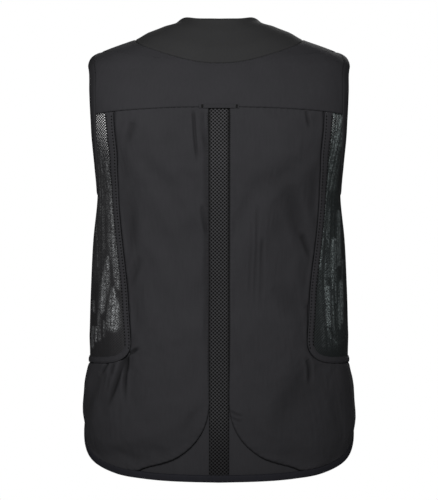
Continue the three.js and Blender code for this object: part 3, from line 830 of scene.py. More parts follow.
def eased(values, passes):
    """A grid of values, each made half itself and half the mean of its four neighbours, in some
    passes."""
    for _ in range(passes):
        wide = np.pad(values, 1, mode="edge")
        beside_it = wide[:-2, 1:-1] + wide[2:, 1:-1] + wide[1:-1, :-2] + wide[1:-1, 2:]
        values = (4 * values + beside_it) / 8
    return values


def draped(face, places):
    """How far a pad's face moves out, in millimetres, when it is simulated as cloth a little larger
    than the patch that it covers, sewn down at its rim and held by the padding under it. It runs on
    every third row and column, and a smooth line through those gives the rest."""
    rows, columns = face.shape[:2]
    start = face[::HIDDEN_STEP, ::HIDDEN_STEP] * MM
    index = np.arange(start.shape[0] * start.shape[1]).reshape(start.shape[:2])
    start = start.reshape(-1, 3)
    mesh = bpy.data.meshes.new("drape")
    mesh.from_pydata(start.tolist(), [], quads_of(index).tolist())
    sheet = bpy.data.objects.new("drape", mesh)
    scene = bpy.context.scene
    scene.collection.objects.link(sheet)
    hold = sheet.vertex_groups.new(name="hold")
    hold.add(index.ravel().tolist(), DRAPE["padding"], "REPLACE")
    hold.add(np.unique(around(index)).tolist(), 1.0, "REPLACE")
    cloth = sheet.modifiers.new("drape", "CLOTH")
    cloth.point_cache.frame_start = 1
    cloth.point_cache.frame_end = DRAPE["frames"]
    for setting, value in DRAPE_SETTINGS.items():
        setattr(cloth.settings, setting, value)
    cloth.settings.effector_weights.gravity = 0
    for frame_number in range(1, DRAPE["frames"] + 1):
        scene.frame_set(frame_number)
    settled = sheet.evaluated_get(bpy.context.evaluated_depsgraph_get()).data
    moved = np.empty(start.size, np.float32)
    settled.vertices.foreach_get("co", moved)
    bpy.data.objects.remove(sheet)
    bpy.data.meshes.remove(mesh)
    scene.frame_set(1)
    up = outward(places[..., 0], places[..., 1])[::HIDDEN_STEP, ::HIDDEN_STEP]
    push = ((moved.reshape(up.shape) - start.reshape(up.shape)) * up).sum(-1) / MM
    push = eased(DRAPE["cap"] * np.tanh(push / DRAPE["cap"]), DRAPE["eased"])
    return spline(spline(push, np.linspace(0, 1, rows)).T, np.linspace(0, 1, columns)).T


def padded_panel(name, places, pad, rims, finish, extra=0.0, crinkle=1.0, loose=False):
    """A pad over a patch of places, with creases, unevenness and any seam gathers on its outer face,
    which then settles as cloth if it is loose. The rims are a drop, a radius and the width of a shelf
    that passes under the next piece, for the first and last column and the first and last row."""
    base = on_form(places)
    outer, inner = pad_heights(base, pad["thick"], *pad["crown"], rims)
    from_rim = np.min(edge_distances(base), 0)
    inside = smooth(from_rim / UNEVEN_FROM)
    creases, narrow = crease_push(base)
    sewn = smooth(from_rim / CREASED_FROM)
    outer = outer + crinkle * inside * unevenness(places) + creases * sewn + extra
    if loose:
        outer = outer + inside * draped(raised(places, outer), places)
    face = raised(places, outer)
    hidden = raised(places, np.minimum(inner, outer - THINNEST))
    # Painted shade in the creases, from their depth: a broad crease gets less, and it fades at sewn
    # edges.
    painted_fold_shade = narrow + BROAD_SHARE * (creases - narrow)
    painted_crease_shade = np.clip(-painted_fold_shade * sewn / FOLD_DEPTH, 0, 1)
    return add_quilt(name, face, hidden, finish, painted_crease_shade), face


# The taped edge beside a net: half widths below and beside the shoulder blades, and where it widens.
# Then its face: height of the rims, rise, exponent, and the grooves under the stitches. Last its back's
# height and grid.
PIPING = {
    "low_half": 4.3, "high_half": 6.0, "from": 330.0, "over": 140.0, "rim": -1.0, "rise": 2.1, "power": 5,
    "groove": 0.6, "groove_at": 0.68, "groove_width": 0.13, "bottom": -3.1, "spacing": 1.5, "across": 21,
}


def piping_half(z):
    """Half width of the taped edge: wider beside the shoulder blades than below."""
    wider = smooth((z - PIPING["from"]) / PIPING["over"])
    return lerp(PIPING["low_half"], PIPING["high_half"], wider)


# How far below its top a back panel starts to drop to the yoke's seam.
TOP_DROP = 72.0
# Steps along an armhole that edges are found on, and the turn from which the yoke's edge follows it.
ARM_STEPS = {"yoke": 400, "front": 200, "tape": 160, "net": 40}
YOKE_FROM = 0.9


def back_panel_places(side, rows, columns):
    """Ruled places between the strip's side, the rounded corner and the hem's tape, and the edge of the
    piping."""
    strip = [(angle_behind(STRIP_HALF + SEAM_GAP, z), z) for z in STRIP_STOPS]
    corner = [(angle_behind(x, z), z) for x, z in CORNER]
    hem = [(angle, hem_middle(angle) + HEM_HALF - TUCK["back_hem"]) for angle in HEM_STOPS]
    t = np.linspace(0, 1, rows)
    inner, outer = spline(strip + corner + hem, t), spline(MESH_EDGE, t)
    along_hem = t >= 1 - (len(hem) - 1) / (len(MESH_EDGE) - 1)
    inner[along_hem, 1] = hem_middle(inner[along_hem, 0]) + HEM_HALF - TUCK["back_hem"]
    whole = ruled(inner, outer, columns)
    width = edge_distances(on_form(whole))[0][:, -1]
    under_piping = (piping_half(outer[:, 1]) - PIPED_RIM["shelf"]) / width
    places = ruled(inner, outer, columns, 1 - under_piping)
    angle, z = places[..., 0], places[..., 1]
    top = MESH_EDGE[0, 1]
    drop = (top - yoke_seam(angle) + YOKE_GAP) * smooth((z - top + TOP_DROP) / TOP_DROP)
    return np.stack([side * angle, z - drop], -1)


def yoke_places(rows, columns):
    """A patch between the yoke's seam, the collar's seam, the armholes' tapes and the shoulders."""
    climb = arm_tape_edge("back", np.linspace(YOKE_FROM, np.pi, ARM_STEPS["yoke"]))
    place = np.arange(len(climb))
    first = np.interp(0, climb[:, 1] - yoke_seam(climb[:, 0]), place)
    t = np.linspace(0, 1, rows)
    at = lerp(first, place[-1], np.minimum(t / ARMHOLE_SHARE, 1))
    round_arm = np.stack([np.interp(at, place, climb[:, k]) for k in (0, 1)], -1)
    up_shoulder = (np.maximum(t - ARMHOLE_SHARE, 0) / (1 - ARMHOLE_SHARE))[:, None]
    shoulder = lerp(climb[-1], np.array([90, COLLAR_SEAM["shoulder"]]), up_shoulder)
    edge = np.where((t < ARMHOLE_SHARE)[:, None], round_arm, shoulder)
    u = np.linspace(-1, 1, columns)
    reach = edge[0, 0]
    low = np.stack([u * reach, yoke_seam(u * reach)], -1)
    high = np.stack([u * 90, collar_seam(u * 90)], -1)
    return coons(low, high, edge * [LEFT, 1], edge)


def collar_places(rows, columns):
    """Ruled places from the collar's seam up to the neck's edge, all round but for the zip."""
    angle = np.linspace(-FRONT, FRONT, columns)
    v = np.linspace(0, 1, rows)[:, None]
    z = lerp(collar_seam(angle), through(NECK_EDGE, np.abs(angle)), v)
    return clear_of_zip(np.stack([np.broadcast_to(angle, z.shape), z], -1), ZIP_HALF + SEAM_GAP)


def front_panel_places(side, rows, columns):
    """A patch between the zip, the side seam and the armhole's tape, the hem's tape and the collar's
    seam."""
    t = np.linspace(0, 1, rows)
    centre = spline([(FRONT, z) for z in FRONT_ZIP], t)
    turns = np.linspace(FRONT_ARM[0], np.pi, ARM_STEPS["front"])
    ahead = arm_tape_edge("front", turns)
    beside_arm = np.stack([np.interp(FRONT_ARM, turns, ahead[:, k]) for k in (0, 1)], -1)
    up_side = [(SIDE_SEAM + SEAM_GAP / SIDE_DEGREE, z) for z in FRONT_SIDE]
    edge = spline([*up_side, *beside_arm, (90, COLLAR_SEAM["shoulder"])], t)
    stop = t * (len(FRONT_ZIP) - 1) - len(FRONT_SIDE)
    along_arm = (stop >= 0) & (stop <= len(FRONT_ARM) - 1)
    turn = np.interp(stop[along_arm], np.arange(len(FRONT_ARM)), FRONT_ARM)
    edge[along_arm] = np.stack([np.interp(turn, turns, ahead[:, k]) for k in (0, 1)], -1)
    u = np.linspace(0, 1, columns)
    round_hem, round_neck = lerp(FRONT, SIDE_SEAM, u), lerp(FRONT, 90, u)
    low = np.stack([round_hem, hem_middle(round_hem) + HEM_HALF - TUCK["front_hem"]], -1)
    high = np.stack([round_neck, collar_seam(round_neck)], -1)
    places = clear_of_zip(coons(low, high, centre, edge), ZIP_HALF + SEAM_GAP)
    return places * [side, 1]


# Each kind of rim: drop, radius, and width of the shelf that passes under the next piece. A back
# panel's rim beside the piping is deepest at the waist: where it deepens, and where it is shallow again
# at its foot.
SOFT_RIM = (0.6, 1.6, 0)
STEP_RIM = (1.3, 2.4, 0)
ARM_RIM = (2.0, 2.6, 0)
NECK_RIM = (1.5, 4.0, 0)
FLAP_RIM = {"left": (0.9, 2.4, 0), "right": (2.4, 3.0, 0)}
PIPED_RIM = {
    "shallow": 3.2, "deep": 3.6, "radius": 4.0, "shelf": 2.0, "below": 430.0, "over": 90.0, "foot": 166.0,
    "foot_over": 12.0,
}


def piped_rim(z):
    """The rim beside the piping: deeper from the shoulder blades down to the net's corner, shallow at
    its foot."""
    deep = smooth((PIPED_RIM["below"] - z) / PIPED_RIM["over"])
    deep *= smooth((z - PIPED_RIM["foot"]) / PIPED_RIM["foot_over"])
    drop = lerp(PIPED_RIM["shallow"], PIPED_RIM["deep"], deep)[:, None]
    return drop, PIPED_RIM["radius"], PIPED_RIM["shelf"]


back_faces = {}
for word, side in SIDES.items():
    places = back_panel_places(side, *PADS["back"]["grid"])
    left, _, high, _ = edge_distances(on_form(places))
    gathers = pucker(high, left, *GATHERS["back_top"]) + pucker(left, high, *GATHERS["back_inner"])
    rims = (FLAP_RIM[word], piped_rim(places[:, -1, 1]), SOFT_RIM, SOFT_RIM)
    panel, back_faces[word] = padded_panel(
        f"back_panel_{word}_cloth", places, PADS["back"], rims, cloths["shell_cloth"], gathers,
        loose=True,
    )
    stands_for(panel, "shell_fabric", f"back_panel_{word}")

    front = front_panel_places(side, *PADS["front"]["grid"])
    rims = (STEP_RIM, STEP_RIM, STEP_RIM, SOFT_RIM)
    panel, _ = padded_panel(
        f"front_panel_{word}_cloth", front, PADS["front"], rims, cloths["shell_cloth"], loose=True,
    )
    stands_for(panel, "shell_fabric", f"front_panel_{word}")

yoke_patch = yoke_places(*PADS["yoke"]["grid"])
yoke_base = on_form(yoke_patch)
run, _, from_low, from_high = edge_distances(yoke_base)
yoke, _ = padded_panel(
    "yoke_cloth", yoke_patch, PADS["yoke"], (ARM_RIM, ARM_RIM, SOFT_RIM, STEP_RIM), cloths["shell_cloth"],
    pucker(from_low, run, *GATHERS["yoke_low"]) + pucker(from_high, run, *GATHERS["yoke_high"]),
)
stands_for(yoke, "shell_fabric", "yoke")

collar, _ = padded_panel(
    "collar_padding", collar_places(*PADS["collar"]["grid"]), PADS["collar"],
    (STEP_RIM, STEP_RIM, STEP_RIM, NECK_RIM), cloths["collar_cloth"], crinkle=COLLAR_CRINKLE,
)
stands_for(collar, "shell_fabric", "collar")


# The tail: the under layer at the foot of the back.

def tail_places(rows, columns):
    """Ruled places from the hem up to an arched edge, lower towards its ends by the square."""
    v = np.linspace(-1, 1, columns)
    angle = v * TAIL["span"]
    low = np.stack([angle, hem_middle(angle)], -1)
    high = np.stack([angle, lerp(TAIL["top"], TAIL["end"], v**2)], -1)
    return lerp(low[None], high[None], np.linspace(0, 1, rows)[:, None, None])


TAIL_GRID = (61, 241)
# Upright ripples: height, width, phase, and the height at which they are full.
RIPPLE = {"height": 0.35, "width": 5.2, "phase": 0.8, "full_at": 60.0}
tail_patch = tail_places(*TAIL_GRID)
tail_arc = np.radians(tail_patch[..., 0]) * MEAN_RADIUS
ripples = RIPPLE["height"] * np.sin(tail_arc / RIPPLE["width"] + RIPPLE["phase"])
ripples *= smooth(tail_patch[..., 1] / RIPPLE["full_at"])
tail_height = -TAIL["sink"] + ripples + TAIL["uneven"] * unevenness(tail_patch)
tail = add_quilt(
    "tail_cloth_panel", raised(tail_patch, tail_height), raised(tail_patch, tail_height - TAIL["thick"]),
    cloths["tail_cloth"],
)
stands_for(tail, "shell_fabric", "tail_panel")
raised(tail_patch, tail_height)


# Tapes.

def tape_grid(path, half, profile, across, ring, lift):
    """A tape along a path of places: at each, points to both sides in the form's tangent plane, raised
    by a profile of heights over the share of the half width, and by a lift along the path."""
    centre = on_form(path)
    normal = outward(path[:, 0], path[:, 1])
    if ring:
        along = np.roll(centre, -1, 0) - np.roll(centre, 1, 0)
    else:
        along = np.gradient(centre, axis=0)
    side = unit(np.cross(normal, along))
    share = np.linspace(-1, 1, across)
    width = np.broadcast_to(half, len(path))[:, None] * share
    height = profile(share) + np.broadcast_to(lift, len(path))[:, None]
    return centre[:, None] + side[:, None] * width[..., None] + normal[:, None] * height[..., None]


def tape(name, path, half, top, bottom, finish, across=17, ring=False, lift=0.0):
    """A tape with a face profile above and another below, closed at its rims."""
    face = tape_grid(path, half, top, across, ring, lift)
    return add_shell(name, face, tape_grid(path, half, bottom, across, ring, lift), finish, ring), face


def evenly(path, spacing, ring=False):
    """The places of a path, respaced so that neighbours are the same distance apart on the form."""
    steps = np.linalg.norm(np.diff(on_form(path), axis=0), axis=1)
    run = np.concatenate([[0], np.cumsum(steps)])
    count = int(round(run[-1] / spacing))
    at = np.linspace(0, run[-1], count, endpoint=not ring)
    return np.stack([np.interp(at, run, path[:, 0]), np.interp(at, run, path[:, 1])], -1)


def bulged(middle, height, power, reach=1.0):
    """A profile that bulges from its rims at one height: a superellipse's half, flat beyond its
    reach."""
    def profile(share):
        inner = 1 - np.minimum(np.abs(share) / reach, 1) ** power
        return middle + height * inner ** (1 / power)

    return profile


def level(height):
    """A flat profile at a height."""
    return lambda share: height + 0 * share


def tape_faces(row):
    """The profiles of a tape's face and back, which bulge from the same rims."""
    return [bulged(row["rim"], row[side], row["power"]) for side in ("face", "back")]


def stitched(share):
    """The taped edge's face: nearly flat with rounded rims, and a groove under each row of stitches."""
    from_groove = (np.abs(share) - PIPING["groove_at"]) / PIPING["groove_width"]
    face = bulged(PIPING["rim"], PIPING["rise"], PIPING["power"])(share)
    return face - PIPING["groove"] * np.exp(-(from_groove**2))


# Rows of stitches: pitch, share of it that a stitch takes, radius. The piping's lie at a share of its
# half width and end above its corner and below the yoke, and the strip's lie in from its edge and end
# in the same way.
PIPING_STITCH = {"row": (4.3, 0.45, 1.05), "at": 0.74, "low": 176.0, "below_yoke": 2.0}
STRIP_STITCH = {"row": (3.0, 0.6, 0.3), "inset": 1.9, "above_corner": 12.0, "below_yoke": 6.0}
ZIP_TEETH = {"row": (2.4, 0.7, 1.0), "at": 0.16}

# Each stitch is a rounded six-sided grain: rings along it, and the share of its radius at each. It bows
# up by a share of its radius.
GRAIN_RINGS = np.array([(0, 0.35), (0.22, 1), (0.78, 1), (1, 0.35)])
GRAIN_SIDES = 6
GRAIN_BOW = 0.5


def grains(head, foot, up, radius):
    """Stitches from arrays of heads and feet: rings of six points round each stitch's line, bowed up a
    little."""
    along = unit(foot - head)
    side = np.cross(along, up)
    turn = np.arange(GRAIN_SIDES) * 2 * np.pi / GRAIN_SIDES
    spoke = side[:, None] * np.cos(turn)[None, :, None] + up[:, None] * np.sin(turn)[None, :, None]
    centres = lerp(head[:, None], foot[:, None], GRAIN_RINGS[None, :, :1])
    lift = up[:, None] * (GRAIN_BOW * radius * np.sin(np.pi * GRAIN_RINGS[None, :, :1]))
    reach = radius * GRAIN_RINGS[None, :, 1, None, None]
    rings = (centres + lift)[:, :, None] + spoke[:, None] * reach
    count = len(GRAIN_RINGS)
    index = np.arange(count * GRAIN_SIDES).reshape(count, GRAIN_SIDES)
    sides = quads_of(np.hstack([index, index[:, :1]]))
    cap = np.array([(0, 1, 2, 3), (0, 3, 4, 5)])
    ends = np.concatenate([cap[:, ::-1], cap + (count - 1) * GRAIN_SIDES])
    one = np.concatenate([sides, ends])
    quads = one[None] + (np.arange(len(head)) * count * GRAIN_SIDES)[:, None, None]
    return rings.reshape(-1, 3), quads.reshape(-1, 4)


def stitch_row(line, normals, pitch, share, radius):
    """Stitches along a line of points: one at each pitch, each as long as a share of it."""
    run = np.concatenate([[0], np.cumsum(np.linalg.norm(np.diff(line, axis=0), axis=1))])
    starts = np.arange(pitch / 2, run[-1] - pitch, pitch)

    def on_line(at, values):
        return np.stack([np.interp(at, run, values[:, k]) for k in range(3)], -1)

    ends = starts + share * pitch
    up = unit(on_line((starts + ends) / 2, normals))
    return grains(on_line(starts, line), on_line(ends, line), up, radius)


def add_stitches(name, rows, finish):
    """Several rows of stitches as one mesh."""
    points, quads, count = [], [], 0
    for row_points, row_quads in rows:
        points.append(row_points)
        quads.append(row_quads + count)
        count += len(row_points)
    points, quads = np.concatenate(points), np.concatenate(quads)
    return stands_for(add_mesh(name, points, facing_out(points, [quads]), finish), "edge_tape")


def faced_out(line, across):
    """Normals along a line: the cross product of steps across it and its course, turned away from the
    body."""
    normals = unit(np.cross(across, np.gradient(line, axis=0)))
    return normals * np.sign((normals[:, :2] * line[:, :2]).sum(1, keepdims=True))


def column_line(face, share):
    """A line down a tape's face at a share of its width, and the face's normals there."""
    at = (share + 1) / 2 * (face.shape[1] - 1)
    low = int(np.floor(at))
    line = lerp(face[:, low], face[:, low + 1], at - low)
    return line, faced_out(line, face[:, low + 1] - face[:, low])


def inset_line(face, inset):
    """A line down a panel's face a distance in from its first column, and the face's normals there."""
    across = edge_distances(face)[0]
    row = np.arange(len(face))
    low = np.clip((across < inset).sum(1) - 1, 0, face.shape[1] - 2)
    step = across[row, low + 1] - across[row, low]
    t = ((inset - across[row, low]) / np.maximum(step, 1e-6))[:, None]
    line = lerp(face[row, low], face[row, low + 1], t)
    return line, faced_out(line, face[row, low + 1] - face[row, low])


# Tapes: height of the rims, bulge of the face and of the back, exponent, spacing along, points across.
ARM_TAPE = {"rim": -1.2, "face": 2.2, "back": -2.1, "power": 2.6, "spacing": 2.2, "across": 13}
HEM_TAPE = {"rim": -1.6, "face": 2.5, "back": -2.6, "power": 3.4, "spacing": 2.0, "across": 11}
EDGE_STEPS = 400
HEM_STEPS = 900
# How far the taped edges run on above the yoke's seam, under it.
OVER_SEAM = 2.0

for word, side in SIDES.items():
    edge = spline(MESH_EDGE, np.linspace(0, 1, EDGE_STEPS))
    below_yoke = edge[:, 1] < yoke_seam(edge[:, 0]) + OVER_SEAM
    edge = evenly(edge[below_yoke] * [side, 1], PIPING["spacing"])
    piping, face = tape(
        f"mesh_binding_{word}_tape", edge, piping_half(edge[:, 1]), stitched, level(PIPING["bottom"]),
        cloths["piping_tape"], PIPING["across"], lift=-under_yoke(edge[:, 0], edge[:, 1]),
    )
    stands_for(piping, "edge_tape", f"mesh_binding_{word}")
    upright = edge[:, 1] > PIPING_STITCH["low"]
    upright &= edge[:, 1] < yoke_seam(edge[:, 0]) - PIPING_STITCH["below_yoke"]
    sewn = add_stitches(f"mesh_binding_{word}_stitches", [
        stitch_row(line[upright], normals[upright], *PIPING_STITCH["row"])
        for line, normals in (column_line(face, hand * PIPING_STITCH["at"]) for hand in (LEFT, RIGHT))
    ], cloths["thread"])

    line, normals = inset_line(back_faces[word], STRIP_STITCH["inset"])
    beside_strip = line[:, 2] < YOKE_SEAM["middle"] - STRIP_STITCH["below_yoke"]
    beside_strip &= line[:, 2] > CORNER[0][1] + STRIP_STITCH["above_corner"]
    add_stitches(f"strip_edge_{word}_stitches", [
        stitch_row(line[beside_strip], normals[beside_strip], *STRIP_STITCH["row"]),
    ], cloths["thread"])

    turn = np.linspace(0, np.pi, ARM_STEPS["tape"])
    loop = np.concatenate([armhole(side, "back", turn), armhole(side, "front", turn[::-1])[1:]])
    binding, _ = tape(
        f"armhole_binding_{word}_tape", evenly(loop, ARM_TAPE["spacing"], True), BINDING_HALF,
        *tape_faces(ARM_TAPE), cloths["edge_tape"], ARM_TAPE["across"], True,
    )
    stands_for(binding, "edge_tape", f"armhole_binding_{word}")

hem_angle = np.linspace(-FRONT, FRONT, HEM_STEPS)
hem_path = clear_of_zip(np.stack([hem_angle, hem_middle(hem_angle)], -1), ZIP_HALF + SEAM_GAP)
hem, _ = tape(
    "hem_band_tape", evenly(hem_path, HEM_TAPE["spacing"]), HEM_HALF, *tape_faces(HEM_TAPE),
    cloths["hem_tape"], HEM_TAPE["across"],
)
stands_for(hem, "edge_tape", "hem_band")

# The hanging loop lies over the yoke's seam and is tacked down near both ends.
LOOP = {
    "half": 2.7, "length": 54.0, "thick": 0.9, "bow": 1.0, "height": 507.6, "rise": 0.3, "grid": (90, 9),
}
TACK = {"at": (-22.5, 24.0), "width": 2.6, "stitches": 9, "radius": 0.32, "reach": 0.85}


def loop_rise(x):
    """The loop's height off the form: a squared cosine, highest in the middle."""
    return LOOP["rise"] + LOOP["bow"] * np.cos(np.pi * x / LOOP["length"]) ** 2


def behind(x, z, height):
    """Points of the back a distance to the side of the spine, raised by a height."""
    x, z, height = np.broadcast_arrays(x, z, height)
    return raised(np.stack([angle_behind(x, z), z], -1), height)


loop_x = np.linspace(-0.5, 0.5, LOOP["grid"][0])[:, None] * LOOP["length"]
loop_z = LOOP["height"] + np.linspace(-LOOP["half"], LOOP["half"], LOOP["grid"][1])[None, :]
hang_loop = add_shell(
    "hang_loop_tape", behind(loop_x, loop_z, loop_rise(loop_x) + LOOP["thick"]),
    behind(loop_x, loop_z, loop_rise(loop_x)), cloths["loop_tape"],
)
stands_for(hang_loop, "edge_tape", "hang_loop")
tacks = []
for centre in TACK["at"]:
    tack_x = centre + np.linspace(-0.5, 0.5, TACK["stitches"] + 1) * TACK["width"]
    up_and_down = np.where(np.arange(len(tack_x)) % 2, 1, -1)
    tack_z = LOOP["height"] + up_and_down * TACK["reach"] * LOOP["half"]
    ends = behind(tack_x, tack_z, loop_rise(tack_x) + LOOP["thick"])
    up = np.tile([0.0, -1.0, 0.0], (TACK["stitches"], 1))
    tacks.append(grains(ends[:-1], ends[1:], up, TACK["radius"]))
loop_tacks = add_stitches("hang_loop_tacks", tacks, cloths["thread"])


# The strip of knitted mesh down the spine: diamond cells, each with a round hole, over the spacer's back
# layer, made near black as painted shade in the holes.

KNIT = {
    "across": 5.1, "along": 4.87, "columns": 5, "first_row": 2, "hole": 1.4, "knot": 0.6, "sink": 1.3,
    "half": 13.4, "below_yoke": 1.0,
}
# Where the strip turns down to its seams: distance from the spine, width, drop, and how far painted shade
# darkens it there, in the recess between the panels.
KNIT_SIDE = {"from": 9.8, "over": 3.0, "drop": 1.2, "shade": 0.68}
# The back layer: its depth, its wall under the panels and over the tail, its half width under the
# panels, how far it passes under the yoke, and where it widens above the panels' corners.
STRIP_BACK = {
    "depth": 2.9, "wall": 0.6, "foot_wall": 4.0, "half": 18.0, "above": 4.0, "widens": 4.0, "over": 16.0,
}
STRIP_GRID = (220, 5)
# Share of the way from the cell's edge to its hole, and height, of each ring of a cell.
KNIT_RINGS = [(0.0, -0.3), (0.5, 0.0), (1.0, -0.35), (1.05, -1.0)]
# Height, and how far painted shade darkens the yarn there: more from the shoulder blades down, most at
# the foot, where the strip lies deep between the panels' corners.
KNIT_PAINTED_SHADE = np.array([
    (0, 0.75), (40, 0.6), (90, 0.3), (300, 0.25), (400, 0.1), (450, 0), (512, 0),
], float)
KNIT_SIDES = 8


def knit_cells():
    """Points and quads of the mesh: on a centred lattice, each cell's rings blend from a diamond to a
    circle."""
    tall = int(YOKE_SEAM["middle"] / KNIT["along"] * 2)
    columns = np.arange(-KNIT["columns"], KNIT["columns"] + 1)
    column, row = np.meshgrid(columns, np.arange(KNIT["first_row"], tall))
    keep = (column + row) % 2 == 0
    centre_x = (column * KNIT["across"] / 2)[keep]
    centre_z = (row * KNIT["along"] / 2)[keep]
    spoke = np.arange(KNIT_SIDES)
    turn = spoke * 2 * np.pi / KNIT_SIDES
    corner = np.where(spoke % 2, 0.5, 1)
    side_x = np.sign(np.round(np.cos(turn), 6)) * corner * KNIT["across"] / 2
    side_z = np.sign(np.round(np.sin(turn), 6)) * corner * KNIT["along"] / 2
    share = np.array([ring[0] for ring in KNIT_RINGS])[:, None]
    height = np.array([ring[1] for ring in KNIT_RINGS])[:, None] + 0 * turn
    height[0] += KNIT["knot"] * (corner == 1)
    ring_x = lerp(side_x, KNIT["hole"] * np.cos(turn), share)
    ring_z = lerp(side_z, KNIT["hole"] * np.sin(turn), share)
    x = np.clip(centre_x[:, None, None] + ring_x, -KNIT["half"], KNIT["half"])
    top = YOKE_SEAM["middle"] - KNIT["below_yoke"]
    z = np.clip(centre_z[:, None, None] + ring_z, HEM_HALF, top)
    turned = smooth((np.abs(x) - KNIT_SIDE["from"]) / KNIT_SIDE["over"])
    points = behind(x, z, height - KNIT["sink"] - KNIT_SIDE["drop"] * turned)
    index = np.arange(len(KNIT_RINGS) * KNIT_SIDES).reshape(-1, KNIT_SIDES)
    one = quads_of(np.hstack([index, index[:, :1]]))
    quads = one[None] + (np.arange(len(centre_x)) * index.size)[:, None, None]
    return points.reshape(-1, 3), quads.reshape(-1, 4)


knit_points, knit_quads = knit_cells()
# The knit's shade attribute is painted shade: in the recess where the strip turns down to its seams, and
# low down between the panels' corners.
knit_side = smooth((np.abs(knit_points[:, 0]) - KNIT_SIDE["from"]) / KNIT_SIDE["over"])
knit_painted_shade = np.interp(knit_points[:, 2], KNIT_PAINTED_SHADE[:, 0], KNIT_PAINTED_SHADE[:, 1])
knit_painted_shade = np.maximum(knit_painted_shade, KNIT_SIDE["shade"] * knit_side)
strip = add_mesh(
    "centre_mesh_knit", knit_points, [knit_quads], cloths["knit"], attributes={"shade": knit_painted_shade},
)
stands_for(strip, "spacer_mesh", "centre_mesh")

strip_share = np.linspace(-1, 1, STRIP_GRID[1])[None, :]
strip_x = strip_share * STRIP_HALF
strip_z = np.linspace(HEM_HALF, YOKE_SEAM["middle"] - SEAM_GAP, STRIP_GRID[0])[:, None]
back_z = np.linspace(HEM_HALF, YOKE_SEAM["middle"] + STRIP_BACK["above"], STRIP_GRID[0])[:, None]
under_flaps = smooth((back_z - CORNER[0][1] - STRIP_BACK["widens"]) / STRIP_BACK["over"])
back_x = strip_share * lerp(STRIP_HALF, STRIP_BACK["half"], under_flaps)
back_wall = lerp(STRIP_BACK["foot_wall"], STRIP_BACK["wall"], under_flaps)
strip_back = add_shell(
    "centre_mesh_back", behind(back_x, back_z, -STRIP_BACK["depth"]),
    behind(back_x, back_z, -STRIP_BACK["depth"] - back_wall), cloths["knit_back"],
)
stands_for(strip_back, "spacer_mesh")
behind(strip_x, strip_z, -KNIT["sink"])


# The side nets: diamond cells with a small sunken hole in each.

NET = {
    "diamond": 3.6, "sink": 0.8, "bulge": 3.4, "ridge": 1.2, "mm_per_degree": 2.8, "first": 55.0,
    "dimple": 0.4, "yarn": 0.5, "tuck": 1.4, "tuck_over": 2.0, "lap": 1.3, "under_front": 2.4,
    "front_from": 0.4, "front_over": 0.6,
}
# Columns and rows of a net's lattice, and threads of its painted highlight, beyond those that its region
# needs.
NET_SPARE = {"columns": 2, "rows": 3, "threads": 4}
# Where a net is loose: below a height and above another, and in from the tape and from a line some
# degrees short of the side seam.
NET_LOOSE = {
    "below": 420.0, "below_over": 200.0, "above": 158.0, "above_over": 40.0, "from_tape": 20.0,
    "from_seam": 30.0, "short_of_seam": 1.0,
}
# How the painted highlight varies from thread to thread and from cell to cell, and how far it is less in
# the holes.
NET_HIGHLIGHT_SPREAD = {"seed": 5, "thread": (0.08, 1.15), "cell": (0.4, 1.0), "in_hole": 0.5}
# Height, and the holes' share of a cell's width there on the left and on the right: the net is
# stretched open at the top.
NET_HOLES = np.array([
    (162, 0.10, 0.10), (200, 0.12, 0.12), (240, 0.18, 0.16), (405, 0.18, 0.10), (440, 0.20, 0.10),
    (456, 0.28, 0.12), (474, 0.36, 0.16), (488, 0.43, 0.20), (512, 0.46, 0.20),
], float)
# Step in millimetres to which the cells' corners are rounded, so that neighbouring cells share them.
WELD = 0.05


def net_region(angle, z):
    """Whether a place lies inside the taped edge, above the foot, below the yoke and clear of the
    armhole."""
    inside = z > np.interp(angle, EDGE_ALONG_FOOT[:, 0], EDGE_ALONG_FOOT[:, 1])
    inside &= angle > np.interp(z, EDGE_UP_THE_BACK[:, 1], EDGE_UP_THE_BACK[:, 0])
    inside &= (z < yoke_seam(angle) + NET["diamond"]) & (angle < SIDE_SEAM + NET["lap"])
    back = armhole(RIGHT, "back", np.linspace(0, np.pi / 2, ARM_STEPS["net"]))[::-1]
    ahead = armhole(RIGHT, "front", np.linspace(0, SIDE_SEAM_TOP, ARM_STEPS["net"]))
    ceiling = np.concatenate([back, ahead[1:]])
    top = np.interp(angle, ceiling[:, 0], ceiling[:, 1], left=2 * YOKE_SEAM["middle"])
    return inside & (z < top)


def highlight_at(places, word):
    """How strong the net's painted highlight is at a place: the strongest of bell shapes along its
    patches, which taper.
    """
    at = on_form(places)
    total = np.zeros(places.shape[:-1])
    for x0, z0, width0, x1, z1, width1, strength in NET_HIGHLIGHTS[word]:
        along = np.array([x1 - x0, z1 - z0])
        off = np.stack([at[..., 0] - x0, at[..., 2] - z0], -1)
        t = np.clip((off * along).sum(-1) / (along**2).sum(), 0, 1)
        away = np.linalg.norm(off - t[..., None] * along, axis=-1) / lerp(width0, width1, t)
        total = np.maximum(total, np.where(at[..., 1] < 0, strength * np.exp(-(away**4)), 0))
    return total


